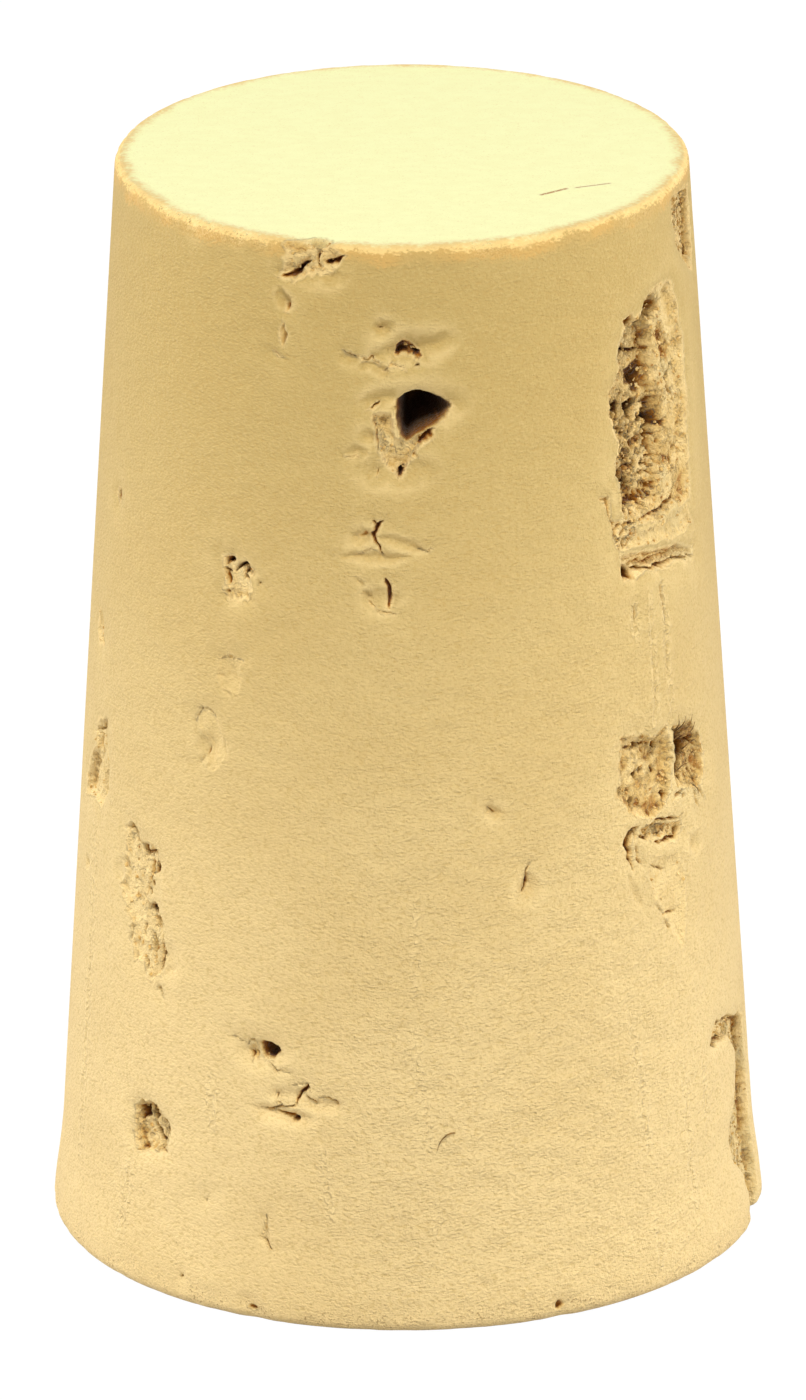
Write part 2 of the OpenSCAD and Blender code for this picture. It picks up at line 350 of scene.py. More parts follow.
# %% Small pores, high up
SMALL_PORES = [
    hollow([(-36.3, 24.6), (-33.9, 24.7), (-32.7, 24.5), (-30.5, 24.4), (-29.1, 24.3), (-29.6, 24),
            (-29.3, 23.6), (-30.3, 23.2), (-34.9, 23.2), (-35.7, 23.5), (-36, 24.1)],
           0.14, wall=0.2, crumb=0.03, stain=0),
    hollow([(-36, 24.5), (-34.4, 24.6), (-33.8, 24.4), (-35.7, 24.2)], 0.4, wall=0.12, stain=0.9),
    crack([(-35.9, 24.15), (-34.6, 24.1)], 0.14, 0.3),
    crack([(-35.4, 24.1), (-35, 23.7)], 0.22, 0.16, stain=0.7),
    hole(-35.1, 23.47, 0.16, 0.14, 0.2),
    crack([(-33.8, 24.15), (-32.5, 24.35), (-31.2, 24.4), (-31.4, 24.15), (-32.1, 23.9)], 0.2, 0.5),
    crack([(-32.1, 23.95), (-30.4, 23.9)], 0.14, 0.4),
    dent(-30.3, 24.2, 0.8, 0.7, 0.14),
    dent(-32.3, 23.3, 1.6, 0.5, 0.1),
    flake([(-36, 21.3), (-31.5, 21.4), (-30.7, 20.8), (-31.8, 20.2), (-35.8, 20.3), (-36.3, 20.8)]),
    crack([(-36, 21.3), (-34, 21.35), (-31.5, 21.4)], 0.1, 0.08, stain=0.6),
    groove([(-36.6, 20.65), (-33.5, 20.85)], 0.14, 0.07),
    groove([(-35.8, 20.3), (-31.8, 20.15)], 0.14, 0.08),
    dent(-33.6, 20.8, 1.1, 1.3, 0.12),
    flake([(-40.6, 19.25), (-38.5, 19.5), (-36.9, 19.35), (-35.8, 19.2), (-34.4, 18.7), (-34.1, 18.1),
           (-35.1, 17.7), (-36.6, 17.5), (-38.4, 17.6), (-37.8, 18), (-38.6, 18.5), (-40.1, 18.9)], 0.06),
    crack([(-40.8, 19), (-40.6, 19.25), (-39.6, 19.45), (-38.5, 19.5), (-36.9, 19.35)], 0.1, 0.12),
    crack([(-38.4, 18.3), (-38.7, 18)], 0.14, 0.2),
    crack([(-39.3, 17.95), (-40, 17.75)], 0.1, 0.08),
    groove([(-34.3, 18.7), (-34, 18.1)], 0.2, 0.07),
    dent(-39, 18.3, 1, 1.2, 0.12),
    dent(-37, 18.5, 1, 1.6, 0.1),
    hole(-69, 25, 0.3, 0.5, 0.12),
    hole(-27.6, 23.9, 0.16, 0.14, 0.15),
    crack([(22.4, 15), (21.5, 14.7), (21.9, 14.3), (21.3, 14)], 0.2, 0.24),
    dent(21.8, 14.2, 1.1, 1.2, 0.22),
    dent(16, 16.8, 1, 0.7, 0.17),
    crack([(15, 16.9), (16.5, 16.7)], 0.12, 0.08),
]
print(len(SMALL_PORES), "marks on the small pores")

# %% [markdown]
# ## Two low pores
# Lower down on the front left are a split pore like a small eye and a chain of thin cracks. A crack is a
# line, so its mark needs only the points along it and a width.

# %% Small pores, low down
LOW_PORES = [
    hollow([(-26.5, 9.05), (-25.5, 9.25), (-24, 9.25), (-22.7, 9.1), (-22.4, 8.85), (-23.3, 8.55),
            (-25.4, 8.55), (-26, 8.8)], 0.5, wall=0.25, ragged=0.8, stain=0.9),
    hole(-23.3, 8.95, 0.34, 0.4, 0.3),
    hollow([(-28.4, 9), (-26.8, 9.1), (-26, 8.75), (-26.6, 8.5), (-28.1, 8.5)], 0.12, crumb=0.06,
           stain=0.1),
    crack([(-28.6, 9), (-28, 9.2), (-27, 9.2), (-26.6, 9.05)], 0.12, 0.18, stain=0.8),
    crack([(-28.3, 8.9), (-27.3, 8.45)], 0.12, 0.14, stain=0.6),
    hollow([(-25.6, 8.75), (-24, 8.85), (-23.5, 8.55), (-25.3, 8.5)], 0.05, crumb=0.12, stain=0.05),
    dent(-26, 8.75, 2.2, 1.2, 0.16),
    crack([(-24.5, 8.5), (-23.7, 8.4), (-22.9, 8.25), (-20.5, 8.25)], 0.1, 0.12, stain=0.7),
    crack([(-31.2, 9.15), (-28.9, 9.1)], 0.1, 0.06, stain=0.2),
    crack([(-25.5, 6.9), (-24.1, 6.9), (-22.5, 7), (-20.7, 7.15), (-19.1, 7.25)], 0.14, 0.24),
    crack([(-19.3, 7.2), (-18.3, 7.45), (-18, 7.65), (-17.1, 7.85), (-16.5, 7.75)], 0.2, 0.28),
    hollow([(-24, 6.9), (-21.9, 6.95), (-19.4, 7.05), (-19.2, 6.75), (-21.2, 6.75), (-22.8, 6.8)],
           0.16, wall=0.12, stain=0.4),
    hole(-19.3, 6.77, 0.3, 0.26, 0.4),
    crack([(-22.8, 7.3), (-21.3, 7.15)], 0.12, 0.12, stain=0.5),
    crack([(-22.9, 7.6), (-22.6, 7.35)], 0.12, 0.1, stain=0.4),
    crack([(-20.1, 7.85), (-18.1, 7.9), (-16.6, 7.95)], 0.1, 0.08, stain=0.4),
    crack([(-17, 7.45), (-15.3, 7.35)], 0.14, 0.14, stain=0.7),
    crack([(-15.1, 7.5), (-13.7, 7.6), (-12.5, 7.45), (-12.2, 7.3)], 0.12, 0.12, stain=0.7),
    dent(-20.3, 7.5, 1.8, 0.7, 0.16),
    dent(-21, 6.85, 2.4, 0.7, 0.16),
    dent(-14.5, 7.3, 1.4, 0.6, 0.14),
    crack([(-23.6, 3.6), (-24, 3.25), (-24.5, 2.9)], 0.14, 0.08, stain=0.2),
    crack([(-24.9, 2.8), (-24.1, 2.6), (-23.6, 2.4), (-23, 2.4)], 0.12, 0.18, stain=0.8),
    dent(-24.1, 2.8, 0.5, 1, 0.1),
    hole(-35.8, 3.6, 0.12, 0.1, 0.1),
]
print(len(LOW_PORES), "marks on the low pores")

# %% [markdown]
# ## The left flank
# Here a lenticel lies along the skin and shows as a torn strip, shallow and pale, with a few black cracks
# down its right edge.

# %% Left trough
LEFT_TROUGH = [
    hollow([(-59.7, 14.8), (-57.2, 14.9), (-55.3, 14.75), (-54.6, 14.45), (-52, 14.65), (-50, 14.5),
            (-49, 14.2), (-49.7, 13.6), (-51, 13.15), (-51.3, 12.75), (-48.9, 12.55), (-47.2, 12),
            (-47.8, 11.75), (-46.7, 11), (-47.5, 10.6), (-50.3, 9.95), (-51.1, 10.3), (-53.4, 10.6),
            (-55.3, 10.45), (-56.5, 11.55), (-59, 12.05), (-60.8, 12.7), (-59.2, 13.1), (-59.5, 13.7)],
           0.14, wall=0.16, torn=0.65, ragged=1.6, crumb=0.06, stain=0),
    crack([(-59.6, 14.7), (-58, 14.75), (-56.4, 14.3)], 0.26, 0.14, stain=0.4),
    crack([(-54.4, 14.5), (-53, 14.15), (-50.4, 14.3)], 0.3, 0.14, stain=0.4),
    crack([(-49.3, 14.1), (-49.9, 13.6)], 0.3, 0.45),
    crack([(-51.6, 14.2), (-51.7, 13.4), (-52.6, 12.7)], 0.36, 0.12, stain=0.25),
    hole(-50.6, 13.25, 0.2, 0.2, 0.3),
    hole(-51, 13, 0.16, 0.26, 0.3),
    hole(-56.4, 13.75, 0.12, 0.12, 0.2),
    hole(-56.7, 14.4, 0.2, 0.2, 0.25),
    hollow([(-52.5, 12.4), (-51.2, 12.6), (-50.1, 12.75), (-48.7, 12.55), (-49, 12.3), (-50.7, 12.35)],
           0.5, wall=0.1, stain=1),
    crack([(-49.2, 12.45), (-48.2, 12.15), (-47.7, 11.6)], 0.24, 0.45, stain=1),
    hollow(spot(-49.6, 12.05, 0.5, 0.5), 0.14, stain=0.3),
    crack([(-48.3, 11.4), (-47.9, 11), (-48.1, 10.6)], 0.24, 0.45, stain=1),
    crack([(-56.2, 11.55), (-56.1, 11)], 0.1, 0.14, stain=0.6),
    crack([(-53.3, 11.9), (-53.4, 11.3)], 0.16, 0.16, stain=0.5),
    crack([(-50.4, 11.6), (-50.2, 10.6)], 0.3, 0.12, stain=0.3),
    crack([(-52.4, 10.7), (-51.4, 10.3)], 0.2, 0.16, stain=0.5),
    groove([(-43.8, 10.85), (-45.8, 10.65), (-48.6, 10.15)], 0.16, 0.07),
    dent(-61, 13.2, 0.9, 1, 0.12),
    dent(-45.5, 11, 1.2, 1.6, 0.12),
    crack([(-48.1, 9.85), (-47.6, 9.95), (-47.1, 9.75)], 0.14, 0.14, stain=0.6),
    dent(-75.5, 12.5, 0.6, 0.6, 0.12),
]
print(len(LEFT_TROUGH), "marks in the left trough")

# %% [markdown]
# ## Its neighbours
# A rounder pore sits below the strip, half of it dark. Another strip turns away round the side of the cork,
# and a hollow a sixth of a millimetre deep is enough for it.

# %% Low left pore and left edge
LOW_LEFT_PORE = [
    hollow([(-53.6, 5.85), (-52.4, 6.05), (-49.6, 6.2), (-47.7, 6.15), (-45.7, 5.9), (-44.3, 5.65),
            (-44, 5.35), (-44.6, 5), (-45.4, 4.65), (-48.2, 4.5), (-51.7, 4.4), (-53.1, 4.65),
            (-53.4, 5.2)], 0.22, wall=0.25, crumb=0.08, stain=0.25),
    hollow([(-53.1, 5.85), (-50.6, 6.05), (-50.4, 5.5), (-52.7, 5.3)], 0.3, stain=0.85),
    hollow([(-50.2, 6.1), (-48, 6.1), (-47.9, 5.5), (-49.1, 5.35), (-50, 5.7)], 0.45, wall=0.14, stain=1),
    crack([(-49.1, 5.4), (-48.6, 5.15), (-47.1, 5.05), (-45.7, 5), (-44.5, 4.95)], 0.26, 0.45, stain=1),
    hole(-45.4, 4.75, 0.34, 0.28, 0.4),
    hollow([(-46.5, 5.85), (-44.6, 5.7), (-44.1, 5.4), (-46, 5.35), (-46.7, 5.6)], 0.45, stain=1),
    crack([(-51.5, 4.6), (-49.5, 4.55)], 0.12, 0.08, stain=0.5),
    dent(-49.5, 5.1, 1.9, 1.9, 0.16),
]
LEFT_EDGE = [
    hollow([(-76.1, 16.9), (-74, 17.4), (-71, 17.6), (-69, 17.4), (-68.6, 16.9), (-67.2, 16.3),
            (-67, 15.5), (-68.8, 14.9), (-70.3, 14.6), (-73.8, 14.7), (-81.4, 14.4), (-81, 15.2),
            (-78, 16), (-75.3, 16.5)], 0.16, wall=0.3, torn=0.55, crumb=0.04, stain=0),
    crack([(-76.1, 16.9), (-73.6, 17.1), (-70.8, 17.4), (-69.6, 17.55)], 0.14, 0.3),
    crack([(-75, 16.9), (-73.9, 16.85), (-73.8, 16.5), (-72.6, 16.4), (-73.4, 16.1)], 0.16, 0.2, stain=0.7),
    hollow([(-76.8, 16.1), (-80.1, 15.7), (-80.9, 14.7), (-75.3, 15), (-75.6, 15.5), (-73.1, 16.1)],
           0.12, wall=0.2, torn=0.6, crumb=0.06, stain=0.25),
    hole(-69.5, 15.75, 0.4, 0.2, 0.06, stain=0.3),
    dent(-69.5, 15.3, 1, 1.2, 0.14),
    hollow(spot(-76, 20.3, 0.8, 1.1), 0.1, torn=0.5, crumb=0.08),
    hole(-74.5, 19.9, 0.3, 0.2, 0.1, stain=0.5),
]
print(len(LOW_LEFT_PORE), "marks in the low left pore,", len(LEFT_EDGE), "at the left edge")

# %% [markdown]
# ## The upper trough
# The largest lenticel on the cork was cut open lengthwise. Its floor is the hardest thing to get right: a
# wide soft hollow with a deeper one inside it, crumbly lower down. Where marks overlap their depths add
# up, so the floor is built of shallow hollows that lie inside one another.

# %% Floor of the upper trough
UPPER_FLOOR = [
    hollow([(61, 32.2), (66, 32.1), (69.5, 31.4), (71.5, 29.5), (71, 28), (71, 26.5), (70.5, 25.3),
            (70, 24.8), (64, 24.75), (56, 24.7), (50, 24.8), (46, 25.2), (45.2, 25.6), (44.4, 26.7),
            (45.1, 27.8), (43.5, 28.6), (43.4, 29.4), (46.3, 30.1), (46.5, 31), (49, 31.45),
            (52.5, 31.6), (55.6, 31.95)], 0.22, wall=0.5, torn=0.8, ragged=1.2, crumb=0.08, stain=0.38),
    hollow([(44.4, 26.6), (45.2, 27.8), (43.8, 28.7), (43.8, 29.4), (47, 30.2), (49, 31.2), (53, 31.4),
            (58, 31.5), (60.5, 30.8), (60.5, 29.5), (63.5, 28), (62, 27), (60, 25.6), (53, 25.2),
            (46, 25.5)], 0.4, wall=0.4, ragged=1.1, crumb=0.07, stain=0.4),
    hollow([(44.8, 26.6), (45.4, 27.8), (48.5, 28.6), (52, 28), (57, 28.2), (61, 27.7), (62, 26.8),
            (59, 25.4), (53, 25.3), (46.4, 25.5)], 0.12, wall=0.3, ragged=1.6, crumb=0.13, stain=0.35),
    hollow([(47.2, 30.2), (49.3, 31.1), (52.4, 31.3), (54.5, 30.7), (51, 30.6)], 0.24, wall=0.3,
           stain=0.7),
    hollow([(60.5, 30.6), (64, 30.9), (67, 30), (66.5, 29.2), (62.5, 29.6)], 0.16, wall=0.3, stain=0.7),
    hollow([(57.5, 28.5), (61.5, 28.7), (64, 28.2), (62.5, 27.5), (58, 27.6)], 0.2, wall=0.3,
           crumb=0.1, stain=0.6),
    hollow([(57, 26.6), (63, 27), (68, 26.8), (68.5, 26), (60, 25.9)], 0.08, wall=0.3, crumb=0.05,
           stain=0.4),
]
print(len(UPPER_FLOOR), "hollows make the upper trough's floor")

# %% [markdown]
# ## Its holes and its foot
# Brown holes pierce the floor and cracks cross it. Each has its own place and size and none is scattered
# at random, because the eye takes the trough's scale from them. A square-ended slot closes the foot.

# %% Holes in the upper trough
UPPER_HOLES = [
    hollow([(54.8, 31.2), (55, 31.8), (57.5, 32), (61, 31.9), (63.5, 31.6), (62, 31.2), (58.5, 31.1)],
           0.5, wall=0.3, stain=0.5),
    hollow([(55, 31.3), (54.9, 31.75), (57.4, 31.95), (60.7, 31.8), (58.5, 31.6), (57, 31.25)],
           0.7, wall=0.2, stain=1),
    hollow([(49.2, 31.3), (48.9, 31.55), (50.9, 31.65), (52.8, 31.4), (50.7, 31.1)], 0.25, stain=0.7),
    hole(54.6, 31.15, 0.4, 0.22, 0.5),
    crack([(49.5, 30.43), (52.7, 30.42), (55, 30.25), (59.1, 30.25)], 0.22, 0.4),
    hollow(spot(47.3, 29.6, 0.4, 0.8, -10), 0.22, stain=0.8),
    hollow([(53, 29.9), (57.5, 29.9), (58.8, 29.3), (57, 28.8), (54.6, 28.9), (52.6, 29.4)], 0.32,
           wall=0.45, stain=0.8),
    hollow([(52.3, 28.2), (51.9, 28.6), (53.6, 28.85), (57.1, 28.6), (55.5, 28.4), (54.2, 28.1)], 0.9,
           wall=0.2, stain=1),
    hole(49.1, 28.68, 0.6, 0.5, 0.7),
    hole(51.1, 28.95, 0.16, 0.16, 0.35),
    hole(52.6, 28.88, 0.16, 0.16, 0.35),
    hollow([(55.5, 28.2), (60, 28.3), (64, 27.7), (63, 27.4), (59, 27.8), (56, 27.7)], 0.35,
           wall=0.2, stain=0.8),
    hole(54, 27.68, 0.24, 0.3, 0.45),
    hole(57.1, 27.9, 0.22, 0.25, 0.4),
    hole(49.6, 27.7, 0.22, 0.2, 0.35),
    hole(47.6, 28.1, 0.22, 0.3, 0.35),
    crack([(52.4, 26.9), (52.6, 26.7), (53.4, 26.45)], 0.2, 0.4),
    hole(49.3, 26.12, 0.42, 0.4, 0.6),
    hollow(spot(51.6, 26.05, 0.45, 0.55), 0.4, stain=0.8),
    hole(49.6, 25.3, 0.22, 0.35, 0.45),
    hole(47.4, 25.5, 0.4, 0.24, 0.35, stain=0.7),
    hole(45.8, 26.2, 0.2, 0.3, 0.35),
    hole(46, 27.2, 0.2, 0.45, 0.4),
    crack([(49.9, 24.96), (55.3, 24.98), (61.8, 25.03), (64.3, 25.1), (64.6, 25.5)], 0.22, 0.3,
          stain=0.5),
    crack([(62, 29.7), (64, 29.1), (64.8, 28.73), (66.2, 28.37), (67.8, 28.04)], 0.16, 0.4),
    crack([(64.5, 29), (67, 29.3)], 0.14, 0.3),
]
print(len(UPPER_HOLES), "holes and cracks in it")

# %% Slot at its foot
UPPER_SLOT = [
    crack([(39.7, 26.24), (41.6, 26.13), (41.8, 25.92), (42.6, 25.4), (43.8, 24.46)], 0.2, 0.12,
          stain=0.4),
    hollow([(42.6, 25.35), (46, 25.3), (49.5, 25.1), (49.7, 24.6), (47, 24.3), (44.2, 24.3),
            (42.6, 24.8)], 0.06, wall=0.2, crumb=0.2, stain=0.2),
    hollow([(44.5, 24.9), (52, 24.7), (60, 24.8), (68, 24.8), (70, 23.9), (62, 23.9), (52, 24.1),
            (44.6, 24.3)], 0.1, wall=0.3, torn=0.5, crumb=0.05, stain=0.05),
    hollow([(44.3, 24.25), (52.4, 24), (63, 23.7), (69.6, 23.25), (70, 22.9), (63.5, 23.15),
            (57, 23.1), (52, 23.3), (48.4, 23.2), (45.3, 23.2), (44.5, 23.4)], 0.35, wall=0.4,
           ragged=0.6, stain=0.25),
    crack([(45, 23.9), (52, 23.8), (60, 23.55), (68, 23.3)], 0.16, 0.12, stain=0.5),
    crack([(47, 23.65), (54, 23.55), (62, 23.4)], 0.14, 0.12, stain=0.5),
    hollow([(44.7, 23.8), (46.5, 23.75), (48.6, 23.5), (48.4, 23.2), (45.3, 23.2)], 0.5, wall=0.15,
           stain=0.9),
    crack([(48, 23.5), (52.1, 23.37), (57.8, 23.25), (64.5, 23.13), (69.6, 22.95)], 0.14, 0.4),
    crack([(55.7, 22.7), (55.9, 22.35), (56.5, 21.8)], 0.14, 0.2),
    crack([(47.7, 22.4), (47.8, 22)], 0.14, 0.14, stain=0.5),
]
print(len(UPPER_SLOT), "marks round the slot")

# %% [markdown]
# ## The middle trough
# The same lenticel surfaces again lower down, as a pale and a dark pocket side by side. The dark one is
# the deeper, with three hollows inside one another for its steps. A tapering tail hangs under both.

# %% Pockets of the middle trough
MIDDLE_POCKETS = [
    hollow([(43.2, 18.4), (48, 18.2), (52, 18), (56.2, 18.2), (57, 16.9), (56.3, 16.2), (54, 15.6),
            (51, 15.3), (46, 15.5), (43, 15.9), (41.2, 16.5), (41.5, 17.2), (42.3, 17.9)],
           0.26, wall=0.4, ragged=1.5, crumb=0.08, stain=0.4),
    crack([(43.2, 18), (46.8, 17.9), (50, 17.76), (53.5, 17.72)], 0.2, 0.25, stain=0.6),
    hollow([(48.5, 17.8), (53, 17.7), (53.4, 17.2), (50.5, 17.1), (48.6, 17.3)], 0.12, stain=0.6),
    hole(53.2, 17.6, 0.24, 0.36, 0.3),
    hole(48, 17.78, 0.3, 0.16, 0.3),
    hollow([(57.3, 18), (60, 18), (64, 17.8), (67.5, 17.3), (69, 16.4), (69, 15.8), (66, 15.5),
            (61, 15.6), (58.5, 15.9), (57.2, 16.4)], 0.3, wall=0.45, ragged=1.6, crumb=0.1, stain=0.6),
    hollow([(57.4, 17.9), (60.5, 17.8), (63, 17.4), (64.5, 16.9), (63, 16.5), (60, 16.2), (58.5, 15.8),
            (57.4, 16.3)], 0.6, wall=0.25, ragged=1.8, crumb=0.08, stain=1),
    hollow([(57.4, 17.5), (59.5, 17.3), (61.5, 17.1), (61, 16.8), (58.8, 16.7), (57.4, 16.9)], 1,
           wall=0.2, stain=1),
    hole(58.3, 16.55, 0.35, 0.3, 0.6),
    hole(60.7, 16.1, 0.3, 0.24, 0.5),
    hole(58, 15.7, 0.55, 0.24, 0.4, stain=0.8),
    hole(59.4, 15.5, 0.25, 0.2, 0.25, stain=0.8),
    crack([(62.5, 17.3), (65.5, 17.1), (68, 16.6)], 0.2, 0.25, stain=0.6),
    crack([(64, 16.3), (66, 15.8), (67, 15.2)], 0.16, 0.16, stain=0.6),
    hole(47, 16.9, 0.24, 0.4, 0.4),
    hole(45.2, 16.45, 0.24, 0.24, 0.35),
    hole(43, 16.7, 0.26, 0.34, 0.3, stain=0.8),
    hole(45.9, 16, 0.26, 0.34, 0.45),
    hole(48.4, 17, 0.3, 0.3, 0.35, stain=0.7),
    hole(53.9, 15.85, 0.24, 0.34, 0.4),
    crack([(51, 17), (52.6, 16.7)], 0.16, 0.2),
    crack([(63.5, 15.6), (65, 14.9)], 0.22, 0.16, stain=0.4),
    crack([(66, 15.6), (67.5, 15)], 0.22, 0.16, stain=0.4),
]
print(len(MIDDLE_POCKETS), "marks in the pockets")

# %% Tail of the middle trough
MIDDLE_TAIL = [
    crack([(46.2, 15.25), (44.2, 15.15), (43, 14.8), (43.2, 14.4), (44.4, 14)], 0.34, 0.5),
    crack([(45.2, 14.7), (45.6, 14.3), (46.6, 14.1)], 0.2, 0.25, stain=0.6),
    hole(45.2, 15, 0.2, 0.4, 0.5),
    hollow([(46, 15.1), (48.4, 15.35), (51.7, 15.2), (58.4, 14.9), (58.7, 14.5), (56.8, 14.35),
            (52.6, 14.55), (49.2, 14.6), (47.5, 14.8)], 0.2, wall=0.2, crumb=0.16, stain=0.1),
    crack([(46.2, 14.95), (48, 14.75), (49.5, 14.9)], 0.22, 0.5),
    crack([(49, 15.25), (52.5, 15.2), (55, 15.1), (58.4, 15)], 0.18, 0.3),
    crack([(49.5, 14.55), (53, 14.5), (57, 14.35), (58.5, 14.6)], 0.2, 0.3, stain=0.7),
    hollow([(46.6, 13.6), (50, 14.2), (56.5, 13.9), (58.5, 13.2), (58.3, 12.6), (58, 11.5),
            (56, 10.5), (53.4, 11.3), (50.9, 12.1), (48.9, 12.75)],
           0.1, wall=0.3, torn=0.5, crumb=0.02, stain=0),
    groove([(42.5, 13.9), (44, 13.2), (46, 12.6)], 0.5, 0.1),
    crack([(49.4, 13.88), (51, 13.6), (52.6, 13.5)], 0.13, 0.14, stain=0.7),
    crack([(49.4, 12.5), (51.4, 12.1), (54, 12.1), (56.7, 12)], 0.13, 0.14, stain=0.7),
    crack([(51.6, 11.9), (53.2, 11.5)], 0.14, 0.14, stain=0.7),
    dent(62, 13.9, 0.8, 0.8, 0.22),
]
print(len(MIDDLE_TAIL), "marks in the tail")

# %% [markdown]
# ## Foot and shoulder
# Near the right edge the lenticel runs out over the foot as a square-cut groove. One more pore breaks the
# shoulder above, and small chips mark the foot's rim.

# %% Foot groove, shoulder pore and foot chips
FOOT_GROOVE = [
    hollow([(65.4, 7.35), (67.5, 7.65), (72.4, 7.4), (80, 6.95), (86, 6.6), (86.5, 5.6), (87.5, 4.5),
            (87.5, 1.5), (84.5, 0.2), (84, -1.2), (77.5, -1.2), (76.3, 0.8), (76.5, 1.2), (75.2, 1.8),
            (70.8, 2.7), (69, 3.46), (70.4, 3.9), (72.4, 4.2), (73.5, 4.6), (76, 5.5), (76.1, 6.05),
            (72.2, 6.7), (67.7, 6.85), (63.6, 7)],
           0.4, wall=0.16, ragged=0.8, crumb=0.12, stain=0.05),
    crack([(63.9, 7), (65.3, 7.3), (67.3, 7.56), (72.4, 7.32), (80, 6.9), (86, 6.5)], 0.22, 0.5, stain=1),
    crack([(63.9, 7.02), (67.7, 6.9), (71, 6.8)], 0.16, 0.4, stain=1),
    hollow([(76.6, 1.1), (80, 1), (84, 0.8), (83, -0.5), (77.5, -0.5)], 0.2, stain=0.7),
    hole(82, 4.2, 0.6, 0.4, 0.15, stain=0.5),
    hollow([(63.5, 6.9), (72, 6.6), (76, 5.9), (75.8, 5.4), (73, 4.6), (70, 3.9), (66, 5)], 0.05,
           wall=0.5, torn=0),
]
SHOULDER_PORE = [
    hollow([(70, 34.5), (76, 34.5), (86, 34.2), (88, 33), (87, 31.8), (83, 31.5), (78, 31.9),
            (74, 32.4), (71, 33), (69.5, 33.8)], 0.34, crumb=0.2),
]
FOOT_CHIPS = [
    hole(25, 0.45, 0.4, 0.5, 0.25, stain=0.5),
    hole(-26, 0.4, 0.4, 0.3, 0.15, stain=0.4),
    dent(-27.5, 0.7, 0.9, 0.7, 0.1),
    hole(-40, 0.9, 0.2, 0.2, 0.15),
]
print(len(FOOT_GROOVE + SHOULDER_PORE + FOOT_CHIPS), "marks at the foot and the shoulder")

# %% [markdown]
# ## The pores behind, and the fine lines
# A lenticel runs right through the bark, so the back has pores too. They are few and plain. The faint
# upright lines are the bark's yearly growth, shallow grooves with a beaded look.

# %% Marks round the back, and growth lines
BACK_PORES = [
    hollow(spot(118, 21, 1.6, 2.4, 10), 0.5, crumb=0.16),
    hollow(spot(134, 27.5, 0.9, 0.9), 0.6, crumb=0.1),
    hollow(spot(152, 12.4, 1.3, 1, -12), 0.7, crumb=0.12),
    hollow(spot(170, 24.2, 1.6, 1.1, 8), 0.6, crumb=0.12),
    hollow(spot(-164, 6.5, 1.2, 0.8), 0.6, crumb=0.1),
    hollow(spot(-147, 17.5, 0.8, 1.3, -6), 0.5, crumb=0.1),
    hollow(spot(-124, 28.6, 1.4, 1.1, 14), 0.45, crumb=0.12),
    hollow(spot(-110, 9.2, 1.7, 2.8), 0.4, crumb=0.16),
]
GROWTH_LINES = [
    groove([(1.5, 9.8), (2, 8.5), (3.2, 6.9), (3.5, 5.8)], 0.15, 0.05),
    groove([(4.4, 4.2), (4.9, 2.9)], 0.15, 0.05),
    groove([(1.7, 14), (1.4, 11)], 0.12, 0.05),
    groove([(41.2, 9.3), (43, 7.2), (43.5, 6), (44.5, 4.4)], 0.15, 0.08),
    groove([(44.8, 2.4), (45.4, 0.9)], 0.12, 0.08),
    groove([(54, 6.8), (54.8, 4), (55, 1.8)], 0.15, 0.05),
    groove([(60.5, 6.6), (60.2, 5)], 0.16, 0.02),
    groove([(51.5, 22.6), (51.8, 21), (51.6, 19), (51.5, 18.3)], 0.16, 0.09),
    groove([(56, 22.8), (56.3, 21), (56, 20), (56.5, 18.6)], 0.16, 0.11),
    groove([(47.5, 22.3), (47.4, 21.4)], 0.2, 0.08),
    groove([(-14.6, 5.9), (-13.6, 5), (-12.7, 3.6)], 0.16, 0.02),
    groove([(-35.3, 7.6), (-34.6, 6.1)], 0.2, 0.02),
    groove([(-53.7, 3.8), (-54.6, 1.6)], 0.24, 0.03),
    groove([(-72, 14), (-71, 8), (-71.5, 3)], 0.24, 0.03),
]
MARKS = (NARROW_RIM_CHIP + UPPER_DIMPLE + DEEP_PORE + CREASES + SMALL_PORES + LOW_PORES + LEFT_TROUGH
         + LOW_LEFT_PORE + LEFT_EDGE + UPPER_FLOOR + UPPER_HOLES + UPPER_SLOT + MIDDLE_POCKETS
         + MIDDLE_TAIL + FOOT_GROOVE + SHOULDER_PORE + FOOT_CHIPS + BACK_PORES + GROWTH_LINES)
print(len(MARKS), "marks on the skin")

# %% [markdown]
# ## The skin, laid flat
# The skin is drawn as a flat sheet, like a label soaked off a bottle: girth across, profile upwards. A
# round cork could be modelled straight away, but a flat sheet of even cells is easy to split. The seam
# lies on the right, a little behind, where no mark crosses it.

# %% Draw the flat sheet
COLUMNS = 96
SEAM = 101 / 360
BANDS = [(0, FOOT_EDGE, 12), (FOOT_EDGE, WALL_START, 1), (WALL_START, WALL_END, 52),
         (WALL_END, TOP_EDGE, 1), (TOP_EDGE, PROFILE, 10)]


def flat_sheet():
    """A sheet of plain cells, in millimetres."""
    rows = [0.0]
    for start, end, count in BANDS:
        rows += [start + (end - start) * (step + 1) / count for step in range(count)]
    sheet = bmesh.new()
    grid = [[sheet.verts.new((GIRTH * (column / COLUMNS + SEAM - 1), row, 0))
             for column in range(COLUMNS + 1)] for row in rows]
    for low, high in zip(grid, grid[1:]):
        for column in range(COLUMNS):
            sheet.faces.new((low[column], low[column + 1], high[column + 1], high[column]))
    return sheet


sheet = flat_sheet()
print(f"{len(sheet.faces)} cells in the plain sheet")

# %% [markdown]
# ## Small faces where they are needed
# Small pores need small faces and the plain skin doesn't. The cells are split in four again and again,
# only near marks and rims. That keeps the piece light, where an even grid fine enough for a crack would
# need millions of faces. The last round is the narrowest, for torn edges and crumbly floors alone.

